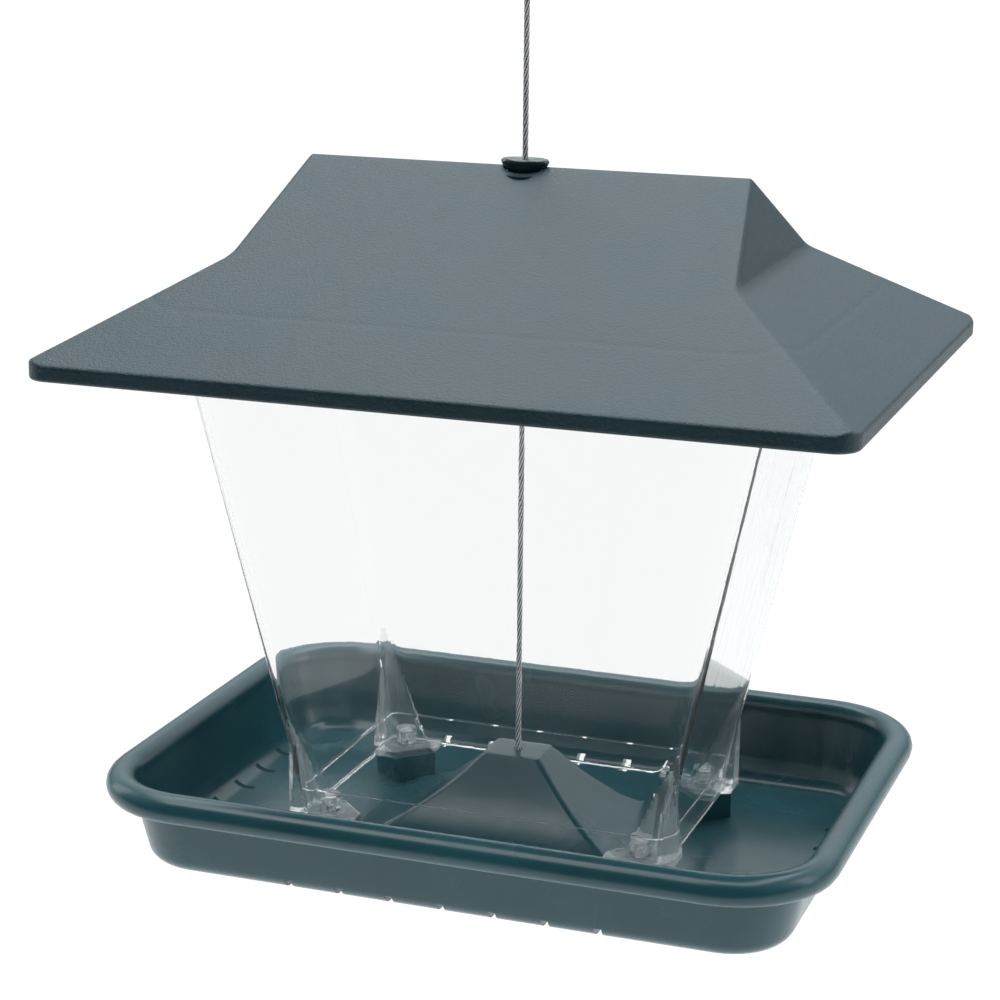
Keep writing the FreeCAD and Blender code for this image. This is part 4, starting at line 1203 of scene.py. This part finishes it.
def threaded_screw(name, low, high):
    """A pan-head screw with its head down. The shank's radius is a core plus a ridge that
    winds once round for each pitch, and it narrows to a point. A cross is pressed into the
    head: its face is lifted where the point lies within either bar of the cross."""
    columns, face_size = 48, 0.94
    dome, head_height, neck_radius = 0.35 * MM, 2.6 * MM, 1.3 * MM
    bar_half_width, bar_half_length, cross_depth = 0.42 * MM, 2.0 * MM, 1.1 * MM
    pitch, ridge_share, core, thread, point_length = 1.5 * MM, 0.28, 1.25 * MM, 0.5 * MM, 3.0 * MM
    head_radius = (high[0] - low[0]) / 2.0
    around = np.linspace(0.0, 2.0 * math.pi, columns, endpoint=False)
    level = np.zeros(columns)
    face_share = np.linspace(0.02, 1.0, 16)[:, None]
    face_x = face_share * head_radius * face_size * np.cos(around)
    face_y = face_share * head_radius * face_size * np.sin(around)
    in_bar = np.minimum(np.abs(face_x), np.abs(face_y)) < bar_half_width
    in_reach = np.maximum(np.abs(face_x), np.abs(face_y)) < bar_half_length
    face_z = low[2] + dome * face_share ** 2.0 + cross_depth * (in_bar & in_reach)
    head_turn = np.linspace(0.0, math.pi / 2, 5)[:, None]
    side_radius = head_radius * (face_size + (1.0 - face_size) * np.sin(head_turn)) + level
    side_z = low[2] + dome + 0.8 * MM * (1.0 - np.cos(head_turn)) + level
    shank_z = np.linspace(low[2] + head_height, high[2], 150)[:, None] + level
    phase = (shank_z / pitch - around / (2.0 * math.pi)) % 1.0
    ridge = np.clip(1.0 - np.abs(phase - 0.5) / ridge_share, 0.0, 1.0)
    taper = np.clip((high[2] - shank_z) / point_length, 0.05, 1.0)
    top_radius = np.array([[head_radius], [neck_radius]]) + level
    top_z = np.full(top_radius.shape, low[2] + head_height)
    radius = np.concatenate([side_radius, top_radius, (core + thread * ridge) * taper])
    x = np.concatenate([face_x, radius * np.cos(around)])
    y = np.concatenate([face_y, radius * np.sin(around)])
    z = np.concatenate([face_z, side_z, top_z, shank_z])
    rings = np.stack([x, y, z], axis=2)
    rings[..., :2] += (low[:2] + high[:2]) / 2.0
    rows = len(rings)
    ends = [list(range(columns))[::-1], list(range((rows - 1) * columns, rows * columns))]
    return make_piece(name, rings, grid_faces(rows, columns, False).tolist() + ends, 45.0)


# Stage ---------------------------------------------------------------------------------------

class FEEDER_OT_stage(bpy.types.Operator):
    """Lay the pale floor far below the hanging feeder and light it softly"""
    bl_idname = "feeder.stage"
    bl_label = "Floor and light"

    def execute(self, context):
        radius, top, thickness = 40.0, -0.70, 0.02
        points, faces = prism(circle_outline(0.0, 0.0, radius, 96), top - thickness, top)
        floor = make_piece("floor", points, faces)
        floor.data.materials.append(floor_paper("floor_paper", context.scene.feeder_finishes.floor_white))
        feeder = (0.0, 0.0, 0.1)
        add_softbox("top_softbox", (-0.2, 0.2, 2.0), (-0.2, 0.2, 0.0), size=(2.4, 2.4), watts=52.0)
        add_softbox("left_softbox", (-1.9, 0.2, 0.7), feeder, size=(0.7, 1.4), watts=5.0)
        add_softbox("right_softbox", (1.8, 0.3, 0.8), feeder, size=(0.5, 1.4), watts=5.0)
        add_softbox("front_strip", (-0.8, -1.25, 2.0), feeder, size=(1.2, 0.45), watts=6.0)
        surroundings(context.scene)
        context.scene.view_settings.view_transform = "Standard"
        return {"FINISHED"}


def floor_paper(name, tint):
    """Pale paper that is seen as plain white, directly or through the clear hopper. In reflections
    and bounced light it gives what the lamps make of it plus a faint painted glow of its own, and
    behind the camera its colour is painted dark, as painted shade for the unlit studio there."""
    material, tree, shader, output = new_material(name)
    place_on = coordinates(tree)
    shade = remap(tree, noise(tree, place_on, Scale=3.0), to_low=0.97, to_high=1.03)
    along = parts_of(tree, place_on)["Y"]
    # Painted shade: the floor's colour falls to near black behind the camera, standing for the unlit studio
    # there.
    reach = remap(tree, along, from_low=-2.0, from_high=-0.9, to_low=0.06, curve="SMOOTHSTEP")
    painted_shade_tone = scaled(tree, tint, calculate(tree, "MULTIPLY", shade, reach))
    fill(tree, shader, {
        "Base Color": painted_shade_tone,
        "Roughness": 0.9,
        "Specular IOR Level": 0.1,
        # Painted glow: the floor gives off a little of its own colour into reflections and bounced light.
        "Emission Color": painted_shade_tone,
        "Emission Strength": 0.30,
    })
    path = add_node(tree, "ShaderNodeLightPath").outputs
    seen = calculate(tree, "MAXIMUM", path["Is Camera Ray"], path["Is Transmission Ray"])
    glow_seen, less_through_walls = 1.06, -0.06
    glow = calculate(tree, "MULTIPLY_ADD", path["Is Transmission Ray"], less_through_walls, glow_seen)
    white = add_node(tree, "ShaderNodeEmission", {"Strength": glow})
    seen_through(tree, seen, shader.outputs[0], white.outputs[0], output)
    return material


def add_softbox(name, place_at, target, size, watts):
    """A rectangular soft lamp at a place, turned towards a target."""
    lamp = bpy.data.lights.new(name, "AREA")
    lamp.shape = "RECTANGLE"
    lamp.size, lamp.size_y = size
    lamp.energy = watts
    lamp.color = (0.95, 0.98, 1.0)
    box = bpy.data.objects.new(name, lamp)
    direction = Vector(place_at) - Vector(target)
    box.rotation_euler = direction.to_track_quat("Z", "Y").to_euler()
    box.location = place_at
    bpy.context.scene.collection.objects.link(box)


def surroundings(scene):
    """White surroundings that are seen as plain white. What they give to reflections and to
    light falls off towards the front, where a studio is dark behind the camera."""
    world = bpy.data.worlds.new("studio")
    world.use_nodes = True
    scene.world = world
    tree = world.node_tree
    direction = parts_of(tree, coordinates(tree, "Generated"))
    behind = remap(tree, direction["Y"], from_low=-0.7, from_high=0.8, to_low=0.03, to_high=1.25)
    above = remap(tree, direction["Z"], from_high=0.4, to_low=0.10)
    path = add_node(tree, "ShaderNodeLightPath").outputs
    half_a_bounce, share_inside = 0.5, 0.35
    inside = calculate(tree, "GREATER_THAN", path["Transmission Depth"], half_a_bounce)
    dimmed = calculate(tree, "MULTIPLY", inside, share_inside)
    through = calculate(tree, "MAXIMUM", path["Is Transmission Ray"], dimmed)
    seen = calculate(tree, "MAXIMUM", path["Is Camera Ray"], through)
    plain_white = 1.05
    strength = mixed(tree, "FLOAT", seen, calculate(tree, "MULTIPLY", behind, above), plain_white)
    fill(tree, tree.nodes["Background"], {"Color": (0.93, 0.97, 1.0, 1.0), "Strength": strength})


class FEEDER_PT_panel(bpy.types.Panel):
    """The feeder's pieces, in the order in which they are built"""
    bl_idname = "FEEDER_PT_panel"
    bl_label = "Bird feeder"
    bl_space_type = "VIEW_3D"
    bl_region_type = "UI"
    bl_category = "Feeder"

    def draw(self, context):
        for operator in OPERATORS:
            self.layout.operator(operator.bl_idname)
        for group in ("feeder_roof", "feeder_hopper", "feeder_tray", "feeder_finishes"):
            box = self.layout.box()
            owner = getattr(context.scene, group)
            for field in owner.bl_rna.properties:
                if field.identifier not in ("rna_type", "name"):
                    box.prop(owner, field.identifier)


GROUPS = {
    "feeder_roof": RoofSizes,
    "feeder_hopper": HopperSizes,
    "feeder_tray": TraySizes,
    "feeder_finishes": Finishes,
}
OPERATORS = (
    FEEDER_OT_camera,
    FEEDER_OT_crimps,
    FEEDER_OT_cable,
    FEEDER_OT_roof,
    FEEDER_OT_cap,
    FEEDER_OT_hopper,
    FEEDER_OT_tray,
    FEEDER_OT_screws,
    FEEDER_OT_stage,
)


def register():
    for name, group in GROUPS.items():
        bpy.utils.register_class(group)
        setattr(bpy.types.Scene, name, PointerProperty(type=group))
    for operator in OPERATORS:
        bpy.utils.register_class(operator)
    bpy.utils.register_class(FEEDER_PT_panel)


def unregister():
    bpy.utils.unregister_class(FEEDER_PT_panel)
    for operator in reversed(OPERATORS):
        bpy.utils.unregister_class(operator)
    for name, group in GROUPS.items():
        delattr(bpy.types.Scene, name)
        bpy.utils.unregister_class(group)


def main():
    """Build every piece in order."""
    register()
    for operator in OPERATORS:
        area, name = operator.bl_idname.split(".")
        getattr(getattr(bpy.ops, area), name)()


if __name__ == "__main__":
    main()
